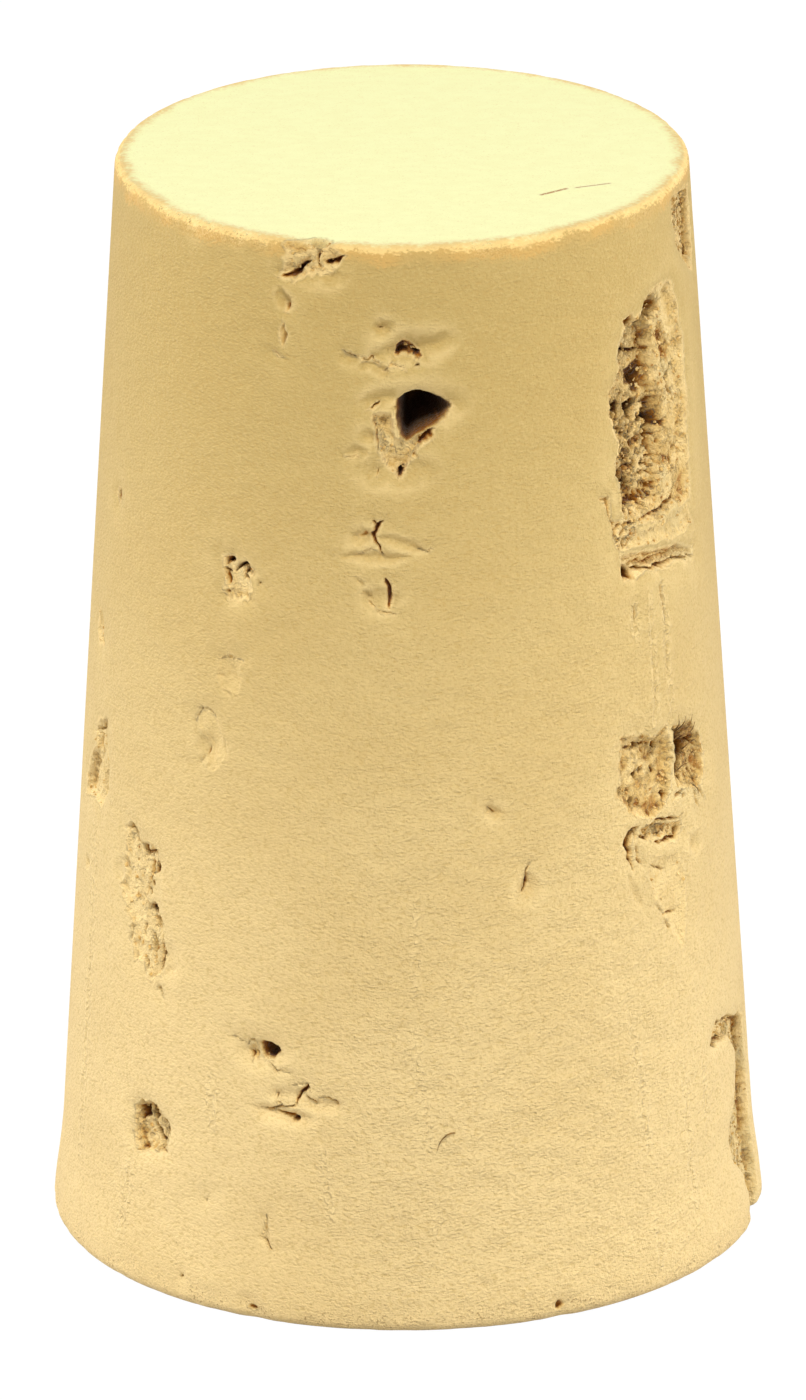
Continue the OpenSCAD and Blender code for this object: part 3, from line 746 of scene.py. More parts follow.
# %% Split the cells near marks
def split(sheet, wanted):
    """Splits in four each cell whose middle is wanted."""
    middles = np.array([face.calc_center_median() for face in sheet.faces])
    picked = wanted(middles[:, 0] / GIRTH * 360, middles[:, 1])
    edges = {edge for face, pick in zip(sheet.faces, picked) if pick for edge in face.edges}
    bmesh.ops.subdivide_edges(sheet, edges=list(edges), cuts=1, use_grid_fill=True)


def near_rim(distance, margin):
    """Picks the places within a margin of either rounded rim."""
    foot = (distance > FOOT_EDGE - margin) & (distance < WALL_START + margin)
    return foot | ((distance > WALL_END - margin) & (distance < TOP_EDGE + margin))


def near_rim_or_marks(rim_margin, margin, widest=FAR):
    """A test for cells close to a rim, or to a mark whose wall is narrower than `widest` mm."""
    def wanted(azimuth, distance):
        height = height_of(distance)
        picked = near_rim(distance, rim_margin)
        for mark in MARKS:
            if mark.wall > widest:
                continue
            near = np.flatnonzero(mark.near(azimuth, height))
            picked[near] |= mark.distance(azimuth[near], height[near]) < margin
        return picked
    return wanted


def on_edges_or_crumbs(margin):
    """A test for cells close to a torn edge, and for the whole floor where it is crumbly."""
    def wanted(azimuth, distance):
        height = height_of(distance)
        picked = np.zeros(azimuth.shape, bool)
        for mark in MARKS:
            if mark.torn == 0:
                continue
            near = np.flatnonzero(mark.near(azimuth, height))
            gap = mark.distance(azimuth[near], height[near])
            picked[near] |= (gap < margin) & ((gap > -3 * margin) | (mark.crumb > 0.15))
        return picked
    return wanted


for wanted in (near_rim_or_marks(0.9, 0.8), near_rim_or_marks(0.4, 0.4), near_rim_or_marks(0, 0.12, 0.3),
               on_edges_or_crumbs(0.05)):
    split(sheet, wanted)
    print(f"{len(sheet.faces)} cells in the flat skin")
sheet.verts.index_update()

# %% [markdown]
# ## Cutting the marks
# The depth of every mark is added up at each corner of the sheet. Outlines are pushed about by two sizes
# of blob, a soft push and a fine one, and torn floors are broken by two sizes of crumb. Dents take half
# the fine push, or their soft walls would grow fingers. Each torn edge gets a shoulder where sanding wore
# the skin down. Shoulders that meet take the deeper of the two, because a sum would pile up into a ring.
# The sizes are in millimetres. EDGE is how wide a torn edge fades out, and SHOULDER how far the wear goes.

# %% Add up the cuts
SOFT_BLOB, SOFT_PUSH = 0.5, 0.07
FINE_BLOB, FINE_PUSH = 0.16, 0.05
COARSE_CRUMB, FINE_CRUMB = 0.42, 0.19
EDGE, SHOULDER = 0.1, 0.35
places = np.array([corner.co[:2] for corner in sheet.verts])
azimuth, distance = places[:, 0] / GIRTH * 360, places[:, 1]
height = height_of(distance)

soft_across, soft_up = (SOFT_PUSH * blobs(azimuth, height, SOFT_BLOB, seed) for seed in (1, 3))
fine_across, fine_up = (FINE_PUSH * blobs(azimuth, height, FINE_BLOB, seed) for seed in (2, 4))
coarse_gaps = ramp((crumbs(azimuth, height, COARSE_CRUMB, 5) - 0.45) / 0.2)
fine_gaps = ramp((crumbs(azimuth, height, FINE_CRUMB, 6) - 0.42) / 0.2)
gaps = 0.4 * coarse_gaps + 0.55 * fine_gaps + 0.35 * blobs(azimuth, height, 0.9, 7)

sink = np.zeros(len(places))
torn, stain, crumbly, worn, growth = np.zeros((5, len(places)))
for mark in MARKS:
    near = np.flatnonzero(mark.near(azimuth, height))
    across = azimuth[near] + mark.ragged * soft_across[near] / mark.mm_per_degree
    up = height[near] + mark.ragged * soft_up[near]
    soft_gap = mark.distance(across, up)
    fine = mark.ragged * (1 if mark.torn else 0.5)
    gap = mark.distance(across + fine * fine_across[near] / mark.mm_per_degree,
                        up + fine * fine_up[near])
    floor_here = ramp(-gap / 0.15)
    sink[near] += mark.depth * ramp(-gap / mark.wall) + mark.crumb * (gaps[near] - 0.3) * floor_here
    if mark.torn:
        outside = np.maximum(soft_gap, 0)
        shoulder = (np.exp(-outside / EDGE) + np.exp(-(outside / SHOULDER) ** 2)) / 2
        worn[near] = np.maximum(worn[near], mark.sag * mark.torn * shoulder)
        torn[near] = np.maximum(torn[near], mark.torn * ramp(0.4 - gap / EDGE))
        stain[near] = np.maximum(stain[near], mark.stain * ramp(-gap / EDGE))
        crumbly[near] = np.maximum(crumbly[near], min(1, 6 * mark.crumb) * floor_here)
    elif mark in GROWTH_LINES:
        growth[near] = np.maximum(growth[near], np.exp(-(gap / mark.width) ** 2))
sink += worn
print(f"Deepest cut {sink.max():.1f} mm, {100 * (torn > 0.5).mean():.0f}% of the corners are torn")

# %% [markdown]
# ## Worn rims
# The blade that squared off the ends left both rims a little crumbly, and the narrow one is worst on the
# left. They are nicked the same way as the pores, by noise that only ever cuts in, so the stopper never
# outgrows its CAD box.

# %% Nick the rims
def rim_band(middle, spread):
    """1 along one line round the cork, fading to 0 on both sides of it."""
    return np.exp(-((distance - middle) / spread) ** 2)


wobble = blobs(azimuth, distance, 0.7, 11) + 0.7 * blobs(azimuth, distance, 0.28, 12)
chips = np.maximum(blobs(azimuth, distance, 1.3, 13) - 0.55, 0)
left_rim = ramp((azimuth + 78) / 12) * ramp((-22 - azimuth) / 12)
nicks = 0.03 * np.maximum(wobble, 0) + 0.12 * chips
foot_band = rim_band(WALL_START, 0.45)
top_band = rim_band(WALL_END + 0.1, 0.3)
sink += nicks * (1.4 * foot_band + (1 + 2 * left_rim) * top_band)
sink = np.maximum(sink, 0)
nicked = foot_band * ramp(0.6 + 0.5 * wobble + 3 * chips)
nicked += top_band * (0.6 * ramp(4 * chips - 0.2) + left_rim * ramp(0.5 + 0.6 * wobble))
end = np.clip((distance + 0.1 * wobble - WALL_END + 0.6) / 1.45, 0, 1)
print(f"{100 * (nicked > 0.3).mean():.0f}% of the corners lie on a nicked rim")

# %% [markdown]
# ## Where shade is painted
# Shade is painted into what is lower than its surroundings, on top of the torn cork's own stain, and a
# highlight onto what stands proud, which sanding also left paler. Both are found by comparing the cuts
# with a smoothed copy of themselves. The results stay on the sheet as attributes for the material to read:
# `brown` and `dark` in the hollows, stain and painted shade, and `proud` on the lips, a painted highlight.

# %% Painted shade in crevices, painted highlight on lips
ends = np.array([[corner.index for corner in edge.verts] for edge in sheet.edges])
links = np.bincount(ends.ravel(), minlength=len(places))


def smoothed(values, rounds):
    """Each corner takes the mean of its neighbours, over and over."""
    for _ in range(rounds):
        total = np.bincount(ends[:, 0], values[ends[:, 1]], len(places))
        total += np.bincount(ends[:, 1], values[ends[:, 0]], len(places))
        values = total / links
    return values


# Painted shade: darker where the cut lies below a smoothed copy of itself.
crevice_shade = ramp((sink - smoothed(sink, 20)) / 0.16)
# Painted highlight on lips that stand proud, partly cork that sanding left paler.
proud = ramp((smoothed(sink, 4) - sink) / 0.04)
# `brown` is the torn cork's own stain together with painted shade in the crevices and between crumbs.
brown = np.clip(0.55 * crevice_shade + 0.75 * stain + 0.1 * gaps - 0.1, 0, 1) * torn
# `dark` is partly the dark lining of deep holes and partly painted shade that deepens with the cut.
dark = ramp((sink - 0.25) / 0.6) * ramp(stain * (0.8 + 0.6 * gaps) - 0.1)
print(f"{100 * (brown > 0.5).mean():.0f}% of the corners are brown, {100 * (dark > 0.5).mean():.0f}% dark")

# %% [markdown]
# ## A short way to write node trees
# Node trees are clearest as arithmetic. One small class wraps a socket, so `1 - mask` or `radius * angle`
# adds its own Math nodes. It serves the geometry trees and all the materials.

# %% A wire
class Wire:
    """A socket that can be used in sums."""

    def __init__(self, board, socket):
        self.board, self.socket = board, socket

    def maths(self, operation, first, second=0.0):
        return self.board.node("ShaderNodeMath", {"operation": operation}, {0: first, 1: second})

    def __add__(self, other):
        return self.maths("ADD", self, other)

    def __radd__(self, other):
        return self.maths("ADD", other, self)

    def __sub__(self, other):
        return self.maths("SUBTRACT", self, other)

    def __rsub__(self, other):
        return self.maths("SUBTRACT", other, self)

    def __mul__(self, other):
        return self.maths("MULTIPLY", self, other)

    def __rmul__(self, other):
        return self.maths("MULTIPLY", other, self)

    def __truediv__(self, other):
        return self.maths("DIVIDE", self, other)

    def __neg__(self):
        return self.maths("MULTIPLY", self, -1.0)

    def of(self, function):
        """A one-input function, such as SINE or ABSOLUTE."""
        return self.maths(function, self)

# %% [markdown]
# ## One method for every node
# A board holds a node tree. One method makes any node from its type, its settings, which are set first,
# and the values or wires of its inputs. Without it, each of those would take a line of its own.

# %% A board
class Board:
    """A node tree, with one method that makes any node."""

    def __init__(self, tree):
        self.tree = tree

    def node(self, kind, settings=None, sockets=None, out=0):
        made = self.tree.nodes.new(kind)
        for name, value in (settings or {}).items():
            if name == "stops":
                self.set_stops(made.color_ramp.elements, value)
            else:
                setattr(made, name, value)
        for name, value in (sockets or {}).items():
            if isinstance(value, Wire):
                self.tree.links.new(value.socket, made.inputs[name])
            else:
                made.inputs[name].default_value = value
        return Wire(self, made.outputs[out]) if made.outputs else made

    @staticmethod
    def set_stops(elements, stops):
        while len(elements) < len(stops):
            elements.new(1.0)
        for element, (place, colour) in zip(elements, stops):
            element.position, element.color = place, colour

    def part(self, wire, out):
        """Another output of a node that is already made."""
        return Wire(self, wire.socket.node.outputs[out])

# %% [markdown]
# ## Geometry trees, made and used up
# A geometry tree gets its sizes as named inputs, so the same tree can make another cork. The modifier that
# carries it sets them by their identifiers, because two inputs may share a name. What the tree makes is
# then kept as a plain mesh, and the modifier is taken off again.

# %% Make and run a geometry tree
def geometry_board(name, inputs):
    """A geometry tree with the named inputs, and its input wires by name."""
    tree = bpy.data.node_groups.new(name, "GeometryNodeTree")
    tree.interface.new_socket("Geometry", in_out="OUTPUT", socket_type="NodeSocketGeometry")
    tree.interface.new_socket("Geometry", in_out="INPUT", socket_type="NodeSocketGeometry")
    for label, kind in inputs:
        tree.interface.new_socket(label, in_out="INPUT", socket_type="NodeSocket" + kind)
    board = Board(tree)
    entry = board.node("NodeGroupInput")
    wires = {socket.name: Wire(board, socket) for socket in entry.socket.node.outputs if socket.name}
    return board, wires


def run_tree(source, tree, values, name):
    """The plain mesh that a geometry tree makes of an object, as a new object."""
    modifier = source.modifiers.new(name, "NODES")
    modifier.node_group = tree
    for item in tree.interface.items_tree:
        if item.in_out == "INPUT" and item.name in values:
            modifier[item.identifier] = values[item.name]
    evaluated = source.evaluated_get(bpy.context.evaluated_depsgraph_get())
    mesh = bpy.data.meshes.new_from_object(evaluated)
    source.modifiers.remove(modifier)
    mesh.name = name
    made = bpy.data.objects.new(name, mesh)
    bpy.context.collection.objects.link(made)
    return made


# %% [markdown]
# ## Wrapping the skin round the cork
# This tree is the lathe. It draws the profile as a curve, rounds its two corners, and sends each corner of
# the flat sheet to the place on that curve which its height names, turned to its azimuth. The skin is
# pushed in by `sink` along the profile's own normal, so a chip in a rim leans the right way. Every size is
# a named input, and another taper only needs other numbers.

# %% The wrapping tree
def wrapping_tree():
    board, size = geometry_board("wrap_skin", [
        ("Wide radius", "Float"), ("Narrow radius", "Float"), ("Length", "Float"),
        ("Wide rim", "Float"), ("Narrow rim", "Float"), ("Foot swell", "Float"),
        ("Foot height", "Float"), ("Material", "Material")])

    def corner(across, up):
        return board.node("ShaderNodeCombineXYZ", {}, {"X": across, "Y": up})

    outline = board.node("GeometryNodeCurvePrimitiveQuadrilateral", {"mode": "POINTS"}, {
        "Point 1": (0, 0, 0), "Point 2": corner(size["Wide radius"], 0.0),
        "Point 3": corner(size["Narrow radius"], size["Length"]), "Point 4": corner(0.0, size["Length"])})
    opened = board.node("GeometryNodeSetSplineCyclic", {}, {"Geometry": outline, "Cyclic": False})
    which = board.node("GeometryNodeInputIndex")
    is_top = which.maths("GREATER_THAN", which, 1.5)
    rim = size["Wide rim"] + is_top * (size["Narrow rim"] - size["Wide rim"])
    profile = board.node("GeometryNodeFilletCurve", {"mode": "POLY"}, {
        "Curve": opened, "Count": 12, "Radius": rim, "Limit Radius": False})

    flat = board.node("ShaderNodeSeparateXYZ", {}, {"Vector": board.node("GeometryNodeInputPosition")})
    angle = flat * math.tau
    sampled = board.node("GeometryNodeSampleCurve", {"mode": "FACTOR", "use_all_curves": True}, {
        "Curves": profile, "Factor": board.part(flat, "Y")}, out="Position")
    place = board.node("ShaderNodeSeparateXYZ", {}, {"Vector": sampled})
    heading = board.node("ShaderNodeSeparateXYZ", {}, {"Vector": board.part(sampled, "Tangent")})
    up = board.part(place, "Y")

    swell = board.node("ShaderNodeMapRange", {"interpolation_type": "SMOOTHSTEP"}, {
        "Value": up, "From Min": size["Wide rim"], "From Max": size["Foot height"],
        "To Min": 1.0, "To Max": 0.0})
    radius = place * (1 + swell * size["Foot swell"] / size["Wide radius"])
    cut = board.node("GeometryNodeInputNamedAttribute", {"data_type": "FLOAT"}, {"Name": "sink"})
    radius = radius - cut * board.part(heading, "Y")
    up = up + cut * heading

    round_place = board.node("ShaderNodeCombineXYZ", {}, {
        "X": radius * angle.of("SINE"), "Y": -(radius * angle.of("COSINE")), "Z": up})
    wrapped = board.node("GeometryNodeSetPosition", {}, {
        "Geometry": size["Geometry"], "Position": round_place})
    closed = board.node("GeometryNodeMergeByDistance", {}, {"Geometry": wrapped, "Distance": 1e-6})
    smooth = board.node("GeometryNodeSetShadeSmooth", {}, {"Geometry": closed, "Shade Smooth": True})
    real = board.node("GeometryNodeRealizeInstances", {}, {"Geometry": smooth})
    painted = board.node("GeometryNodeSetMaterial", {}, {"Geometry": real, "Material": size["Material"]})
    board.node("NodeGroupOutput", {}, {"Geometry": painted})
    return board.tree


wrap_skin = wrapping_tree()
print(len(wrap_skin.nodes), "nodes in the wrapping tree")

# %% [markdown]
# ## Cork's colours
# The sanded skin is a warm buff, painted darker towards the top and paler towards the foot, which is
# painted shade and painted light from the floor. Inside the pores the bark is raw: crumbly, tan to brown,
# and nearly black where it is deep, partly as painted shade. The cut end is paler and yellower than the
# side, partly its own colour and partly painted light of the overhead lamp, and the rims between them are
# tinted orange. Mixing them from a short list of named colours keeps the whole cork in one family.

# %% Colours
def srgb(red, green, blue):
    """A colour given as 0 to 255, in the linear numbers that a shader wants."""
    def linear(value):
        value /= 255
        return value / 12.92 if value <= 0.04045 else ((value + 0.055) / 1.055) ** 2.4
    return linear(red), linear(green), linear(blue), 1.0


# SKIN at the top and SKIN_FOOT at the foot: painted shade above and painted floor light below.
SKIN = srgb(192, 164, 101)
SKIN_FOOT = srgb(228, 200, 142)
SKIN_SHADE = srgb(190, 156, 90)
# LIP also serves as a painted highlight on proud lips and on high grains.
LIP = srgb(250, 222, 160)
PINHOLE = srgb(146, 106, 50)
# END's paleness is partly the end grain's own colour and partly painted light of the overhead lamp.
END = srgb(251, 250, 189)
END_WARM = srgb(247, 241, 177)
END_SPECK = srgb(236, 218, 148)
STREAK = srgb(186, 140, 74)
RIM = srgb(238, 204, 132)
RIM_SHADE = srgb(208, 168, 98)
RAW = srgb(241, 211, 147)
RAW_SHADE = srgb(216, 178, 106)
RAW_GREY = srgb(196, 182, 134)
GAP = srgb(158, 100, 28)
BROWN = srgb(104, 54, 4)
# DARK is partly the pores' own dark lining and partly painted shade at the bottom of deep holes.
DARK = srgb(78, 50, 10)
FIBRE = srgb(160, 122, 66)
FIBRE_SHADE = srgb(84, 60, 26)
print("The sanded skin is mixed from red, green and blue", [round(share, 3) for share in SKIN[:3]])

# %% [markdown]
# ## Tools for a material
# Every material here is built from the same few things: noise of a size given in millimetres, a threshold
# with soft sides, a mix of two colours, an attribute that the cutting left behind, and a matt surface with
# a bump. Images could do the same, but noise on the object's own coordinates never shows a seam.

# %% Noise, thresholds, mixes and a matt surface
def material_board(name):
    made = bpy.data.materials.new(name)
    made.use_nodes = True
    made.node_tree.nodes.clear()
    return made, Board(made.node_tree)


def noise(board, where, size, detail=2.0, stretch=(1, 1, 1)):
    """Noise about `size` mm across, from 0 to 1."""
    scale = tuple(side / (size * MM) for side in stretch)
    scaled = board.node("ShaderNodeVectorMath", {"operation": "MULTIPLY"}, {0: where, 1: scale})
    return board.node("ShaderNodeTexNoise", {}, {"Vector": scaled, "Scale": 1.0, "Detail": detail})


def crumb_noise(board, where, size):
    """0 in the middle of each crumb, about `size` mm across, rising towards 1 between them."""
    scale = 1 / (size * MM)
    scaled = board.node("ShaderNodeVectorMath", {"operation": "MULTIPLY"}, {0: where, 1: (scale,) * 3})
    return board.node("ShaderNodeTexVoronoi", {"feature": "F1"}, {"Vector": scaled, "Scale": 1.0})


def between(board, value, low, high):
    """0 below low, 1 above high, eased between them."""
    return board.node("ShaderNodeMapRange", {"interpolation_type": "SMOOTHSTEP"}, {
        "Value": value, "From Min": low, "From Max": high})


def mix(board, amount, first, second):
    """Two colours mixed."""
    made = board.tree.nodes.new("ShaderNodeMix")
    made.data_type = "RGBA"
    for name, value in (("Factor_Float", amount), ("A_Color", first), ("B_Color", second)):
        socket = next(socket for socket in made.inputs if socket.identifier == name)
        if isinstance(value, Wire):
            board.tree.links.new(value.socket, socket)
        else:
            socket.default_value = value
    return Wire(board, next(socket for socket in made.outputs if socket.identifier == "Result_Color"))


def attribute(board, name):
    return board.node("ShaderNodeAttribute", {"attribute_name": name}, out="Fac")


def finish_surface(board, colour, roughness, height, depth):
    """A dry, matt surface with a bump of `depth` mm."""
    bump = board.node("ShaderNodeBump", {}, {"Height": height, "Strength": 1.0, "Distance": depth * MM})
    surface = board.node("ShaderNodeBsdfPrincipled", {}, {
        "Base Color": colour, "Roughness": roughness, "Normal": bump, "Specular IOR Level": 0.06,
        "Sheen Weight": 0.1, "Sheen Roughness": 0.5})
    board.node("ShaderNodeOutputMaterial", {}, {"Surface": surface})


# %% [markdown]
# ## The sound skin
# Turning and sanding leave the side a little mottled, with a fine grain and pinholes. The dark and pale
# flecks of the grain follow its bump, partly as painted shade and painted highlight, and the lips where
# the skin stands proud round a dent are paler, partly as a painted highlight. The side is painted darker
# towards the top and paler towards the foot, for the light from the floor.

# %% The sanded side
def skin_colour(board, where, up, flakes, fine, beads):
    tint = noise(board, where, 5, 1)
    # Painted light: darker towards the top and paler towards the foot.
    skin = mix(board, between(board, up, 34, 4), SKIN, SKIN_FOOT)
    skin = mix(board, between(board, tint, 0.6, 0.3) * 0.15, skin, SKIN_SHADE)
    # Dark and pale flecks follow the grain's bump: partly painted shade on low grains, painted highlight on
    # high ones.
    skin = mix(board, between(board, flakes, 0.5, 0.3) * 0.42, skin, SKIN_SHADE)
    skin = mix(board, between(board, flakes, 0.52, 0.7) * 0.1, skin, LIP)
    skin = mix(board, between(board, fine, 0.7, 0.8) * 0.5, skin, PINHOLE)
    # Painted highlight on the proud lips, partly cork burnished pale.
    skin = mix(board, attribute(board, "proud") * 0.3, skin, LIP)
    return mix(board, beads * 0.3, skin, LIP)


# %% [markdown]
# ## The cut end and its rim
# A knife squared off the narrow end. Its face is pale and evenly clouded, paler partly for its own grain
# and partly as painted light of the overhead lamp, with two short brown streaks where the blade met a hard
# spot. The rim is bruised: first a patchy brown edge, then an orange one, both ragged, and brown and pale
# grains lie in the nicks.

# %% The face and the rim
def streak(board, x, y, start, end, width):
    """1 along a thin line on the cut end, from start to end in mm."""
    length = math.dist(start, end)
    run, rise = (end[0] - start[0]) / length, (end[1] - start[1]) / length
    x, y = x - start[0], y - start[1]
    along, aside = x * run + y * rise, (y * run - x * rise).of("ABSOLUTE")
    ends = between(board, along, 0, 0.15) * between(board, along, length, length - 0.15)
    return between(board, aside, width, 0.3 * width) * ends


def face_colour(board, where, x, y, fine):
    cloud = noise(board, where, 0.3, 1, (0.5, 1, 1))
    # Pale partly as painted overhead light.
    face = mix(board, between(board, cloud, 0.35, 0.65) * 0.3, END, END_WARM)
    face = mix(board, between(board, fine, 0.6, 0.75) * 0.5, face, END_SPECK)
    lines = (streak(board, x, y, (4.2, -4.1), (5.15, -3.4), 0.09)
             + streak(board, x, y, (5.25, -3.42), (6.5, -2.95), 0.06) * 0.8)
    return mix(board, lines * between(board, fine, 0.25, 0.45), face, STREAK)


def rim_colour(board, where, skin, face, flakes, fine):
    """The skin below, the face above, and the bruised rim between them."""
    end_here, nicked_here, grains = attribute(board, "end"), attribute(board, "nicked"), fine + flakes
    ragged = between(board, (end_here - 0.5).of("ABSOLUTE"), 0.5, 0.3)
    edge = end_here + (flakes - 0.5) * 0.4 * ragged
    rusty = between(board, noise(board, where, 1.1, 1), 0.36, 0.6)
    colour = mix(board, between(board, edge, 0.14, 0.38) * (0.4 + 0.6 * rusty), skin, RIM_SHADE)
    colour = mix(board, between(board, edge, 0.44, 0.55), colour, RIM)
    colour = mix(board, between(board, edge, 0.57, 0.95), colour, face)
    colour = mix(board, nicked_here * between(board, grains, 0.98, 0.85) * 0.4, colour, LIP)
    return mix(board, nicked_here * between(board, grains, 1.08, 1.25) * 0.7, colour, PINHOLE)


# %% [markdown]
# ## Torn cork, and the whole material
# Raw cork is tan on its crumbs, browner between them, grey in patches and nearly black at the bottom of a
# hole; the brown between crumbs and the black in holes are partly painted shade. The attributes choose
# between raw and sanded. The same noises that colour the cork also raise it, so a dark grain is a low one,
# which paints shade on the low grains and a highlight on the high ones. Ripples are strongest on the lower
# front, and the cut end is smoothest.

# %% The cork material
def raw_colour(board, where, patches, rough, pits):
    # Partly painted shade: browner in crevices and between crumbs, where `pits` also lowers the bump.
    tone = attribute(board, "brown") + pits * 0.28 + (patches - 0.5) * 0.6 + (rough - 0.5) * 0.3
    raw = board.node("ShaderNodeValToRGB", {"stops": [
        (0.0, RAW), (0.35, RAW_SHADE), (0.65, GAP), (1.0, BROWN)]}, {0: tone})
    raw = mix(board, between(board, noise(board, where, 1.3, 1), 0.58, 0.7) * 0.3, raw, RAW_GREY)
    # Partly painted shade: DARK where a hole is deep.
    return mix(board, attribute(board, "dark"), raw, DARK)


def cork_material():
    made, board = material_board("cork")
    where = board.node("ShaderNodeTexCoord", out="Object")
    apart = board.node("ShaderNodeSeparateXYZ", {}, {"Vector": where})
    x, y, up = apart / MM, board.part(apart, "Y") / MM, board.part(apart, "Z") / MM
    torn_here, end_here, crumbly_here = (attribute(board, name) for name in ("torn", "end", "crumbly"))

    flakes = noise(board, where, 0.13, 2, (1, 1, 1.6))
    fine = noise(board, where, 0.06, 1)
    beads = attribute(board, "growth") * between(board, noise(board, where, 0.16, 1), 0.42, 0.6)
    skin = skin_colour(board, where, up, flakes, fine, beads)
    face = face_colour(board, where, x, y, fine)
    sound = rim_colour(board, where, skin, face, flakes, fine)

    patches, rough = noise(board, where, 0.7, 1), noise(board, where, 0.1, 2)
    pits = crumb_noise(board, where, 0.36) + (rough - 0.5) * 0.9 - (patches - 0.5) * 0.7
    pits = between(board, pits, 0.42, 0.18) * crumbly_here
    colour = mix(board, torn_here, sound, raw_colour(board, where, patches, rough, pits))

    rough_there = between(board, (x - 3.5).of("ABSOLUTE"), 9, 3) * between(board, up, 30, 6)
    waves = noise(board, where, 0.9, 1, (1, 1, 1.3))
    ripple = waves * (0.6 + 0.9 * rough_there) + (flakes + fine * 0.5) * (0.36 + 0.36 * rough_there)
    ripple = ripple * (1 - 0.75 * between(board, end_here, 0.55, 0.91)) + beads * 0.3
    finish_surface(board, colour, 0.85, ripple + torn_here * (rough * 1.2 - pits * 1.2), 0.12)
    return made


cork = cork_material()
print(len(cork.node_tree.nodes), "nodes in the cork's material")

# %% [markdown]
# ## From the sheet to a mesh
# The wrapping tree needs a mesh, so the flat sheet becomes one, with what the cutting found stored on its
# corners as attributes. They travel through the tree and reach the material. Turns and shares of the
# profile replace the millimetres, because a curve is sampled by shares of its length.

# %% The sheet as an object
def sheet_object():
    """The flat skin as an object: turns across, share of the profile upwards."""
    mesh = bpy.data.meshes.new("flat_skin")
    for corner in sheet.verts:
        corner.co = (corner.co.x / GIRTH, corner.co.y / PROFILE, 0)
    sheet.to_mesh(mesh)
    kept = {"sink": sink * MM, "torn": torn, "brown": brown, "dark": dark, "crumbly": crumbly,
            "proud": proud, "end": end, "nicked": nicked, "growth": growth}
    for name, values in kept.items():
        made = mesh.attributes.new(name, "FLOAT", "POINT")
        made.data.foreach_set("value", values.astype(np.float32))
    made = bpy.data.objects.new("flat_skin", mesh)
    bpy.context.collection.objects.link(made)
    return made


flat_skin = sheet_object()
print(len(flat_skin.data.attributes), "attributes on the flat skin")

# %% [markdown]
# ## The stopper
# The wrapping tree turns the sheet into the cork. Every finished piece rides on the CAD model's one body
# and takes the place of its plain solid. A sound skin has no open edges and a volume close to the CAD
# stopper's, so both are counted.

# %% Wrap the skin
def keep_piece(piece):
    """Adds a finished piece to the stopper."""
    piece.location = (0, 0, 0)
    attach(piece, "root")
    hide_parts("stopper")


stopper = run_tree(flat_skin, wrap_skin, {
    "Wide radius": WIDE_RADIUS * MM, "Narrow radius": NARROW_RADIUS * MM, "Length": LENGTH * MM,
    "Wide rim": WIDE_RIM * MM, "Narrow rim": NARROW_RIM * MM, "Foot swell": FOOT_SWELL * MM,
    "Foot height": FOOT_HEIGHT * MM, "Material": cork}, "cork_stopper")
bpy.data.objects.remove(flat_skin)
sheet.free()
keep_piece(stopper)


def soundness(mesh):
    """Open edges, and volume in cubic metres."""
    shell = bmesh.new()
    shell.from_mesh(mesh)
    count = sum(not edge.is_manifold for edge in shell.edges)
    volume = shell.calc_volume(signed=True)
    shell.free()
    return count, volume


stopper.data.calc_loop_triangles()
open_edges, volume = soundness(stopper.data)
print(f"{len(stopper.data.loop_triangles)} triangles, {open_edges} open edges, "
      f"{volume / MM ** 3:.0f} mm3")

# %% [markdown]
# ## Loose crumbs
# A torn pore is littered with splinters of cork that broke off and stuck. They could be modelled one by
# one, but a scattering tree is the tool for hundreds of the same thing: it picks places on the skin,
# thickest where `crumbly` says, and sets a small block on each, turned and stretched at random. A block of
# six faces is enough, because none is much over a tenth of a millimetre long.

# %% Scatter the crumbs
def crumbs_tree():
    board, size = geometry_board("scatter_crumbs", [
        ("Density", "Float"), ("Smallest", "Float"), ("Largest", "Float"), ("Seed", "Int"),
        ("Material", "Material")])
    crumbly_here = board.node("GeometryNodeInputNamedAttribute", {"data_type": "FLOAT"}, {
        "Name": "crumbly"})
    places = board.node("GeometryNodeDistributePointsOnFaces", {}, {
        "Mesh": size["Geometry"], "Density": crumbly_here * size["Density"], "Seed": size["Seed"]})
    block = board.node("GeometryNodeMeshCube", {}, {"Size": (1.6, 1.6, 1.6)})
    turn = board.node("FunctionNodeRandomValue", {"data_type": "FLOAT_VECTOR"}, {
        "Max": (math.tau, math.tau, math.tau), "Seed": 2})
    stretch = board.node("FunctionNodeRandomValue", {"data_type": "FLOAT_VECTOR"}, {
        "Min": size["Smallest"], "Max": size["Largest"], "Seed": 3})
    grains = board.node("GeometryNodeInstanceOnPoints", {}, {
        "Points": places, "Instance": block, "Rotation": turn, "Scale": stretch})
    real = board.node("GeometryNodeRealizeInstances", {}, {"Geometry": grains})
    painted = board.node("GeometryNodeSetMaterial", {}, {"Geometry": real, "Material": size["Material"]})
    board.node("NodeGroupOutput", {}, {"Geometry": painted})
    return board.tree


def crumb_material():
    made, board = material_board("crumb")
    where = board.node("ShaderNodeTexCoord", out="Object")
    tone = noise(board, where, 0.3, 2)
    colour = board.node("ShaderNodeValToRGB", {"stops": [
        (0.3, RAW), (0.5, RAW_SHADE), (0.75, GAP)]}, {0: tone})
    finish_surface(board, colour, 0.85, noise(board, where, 0.05, 2), 0.04)
    return made


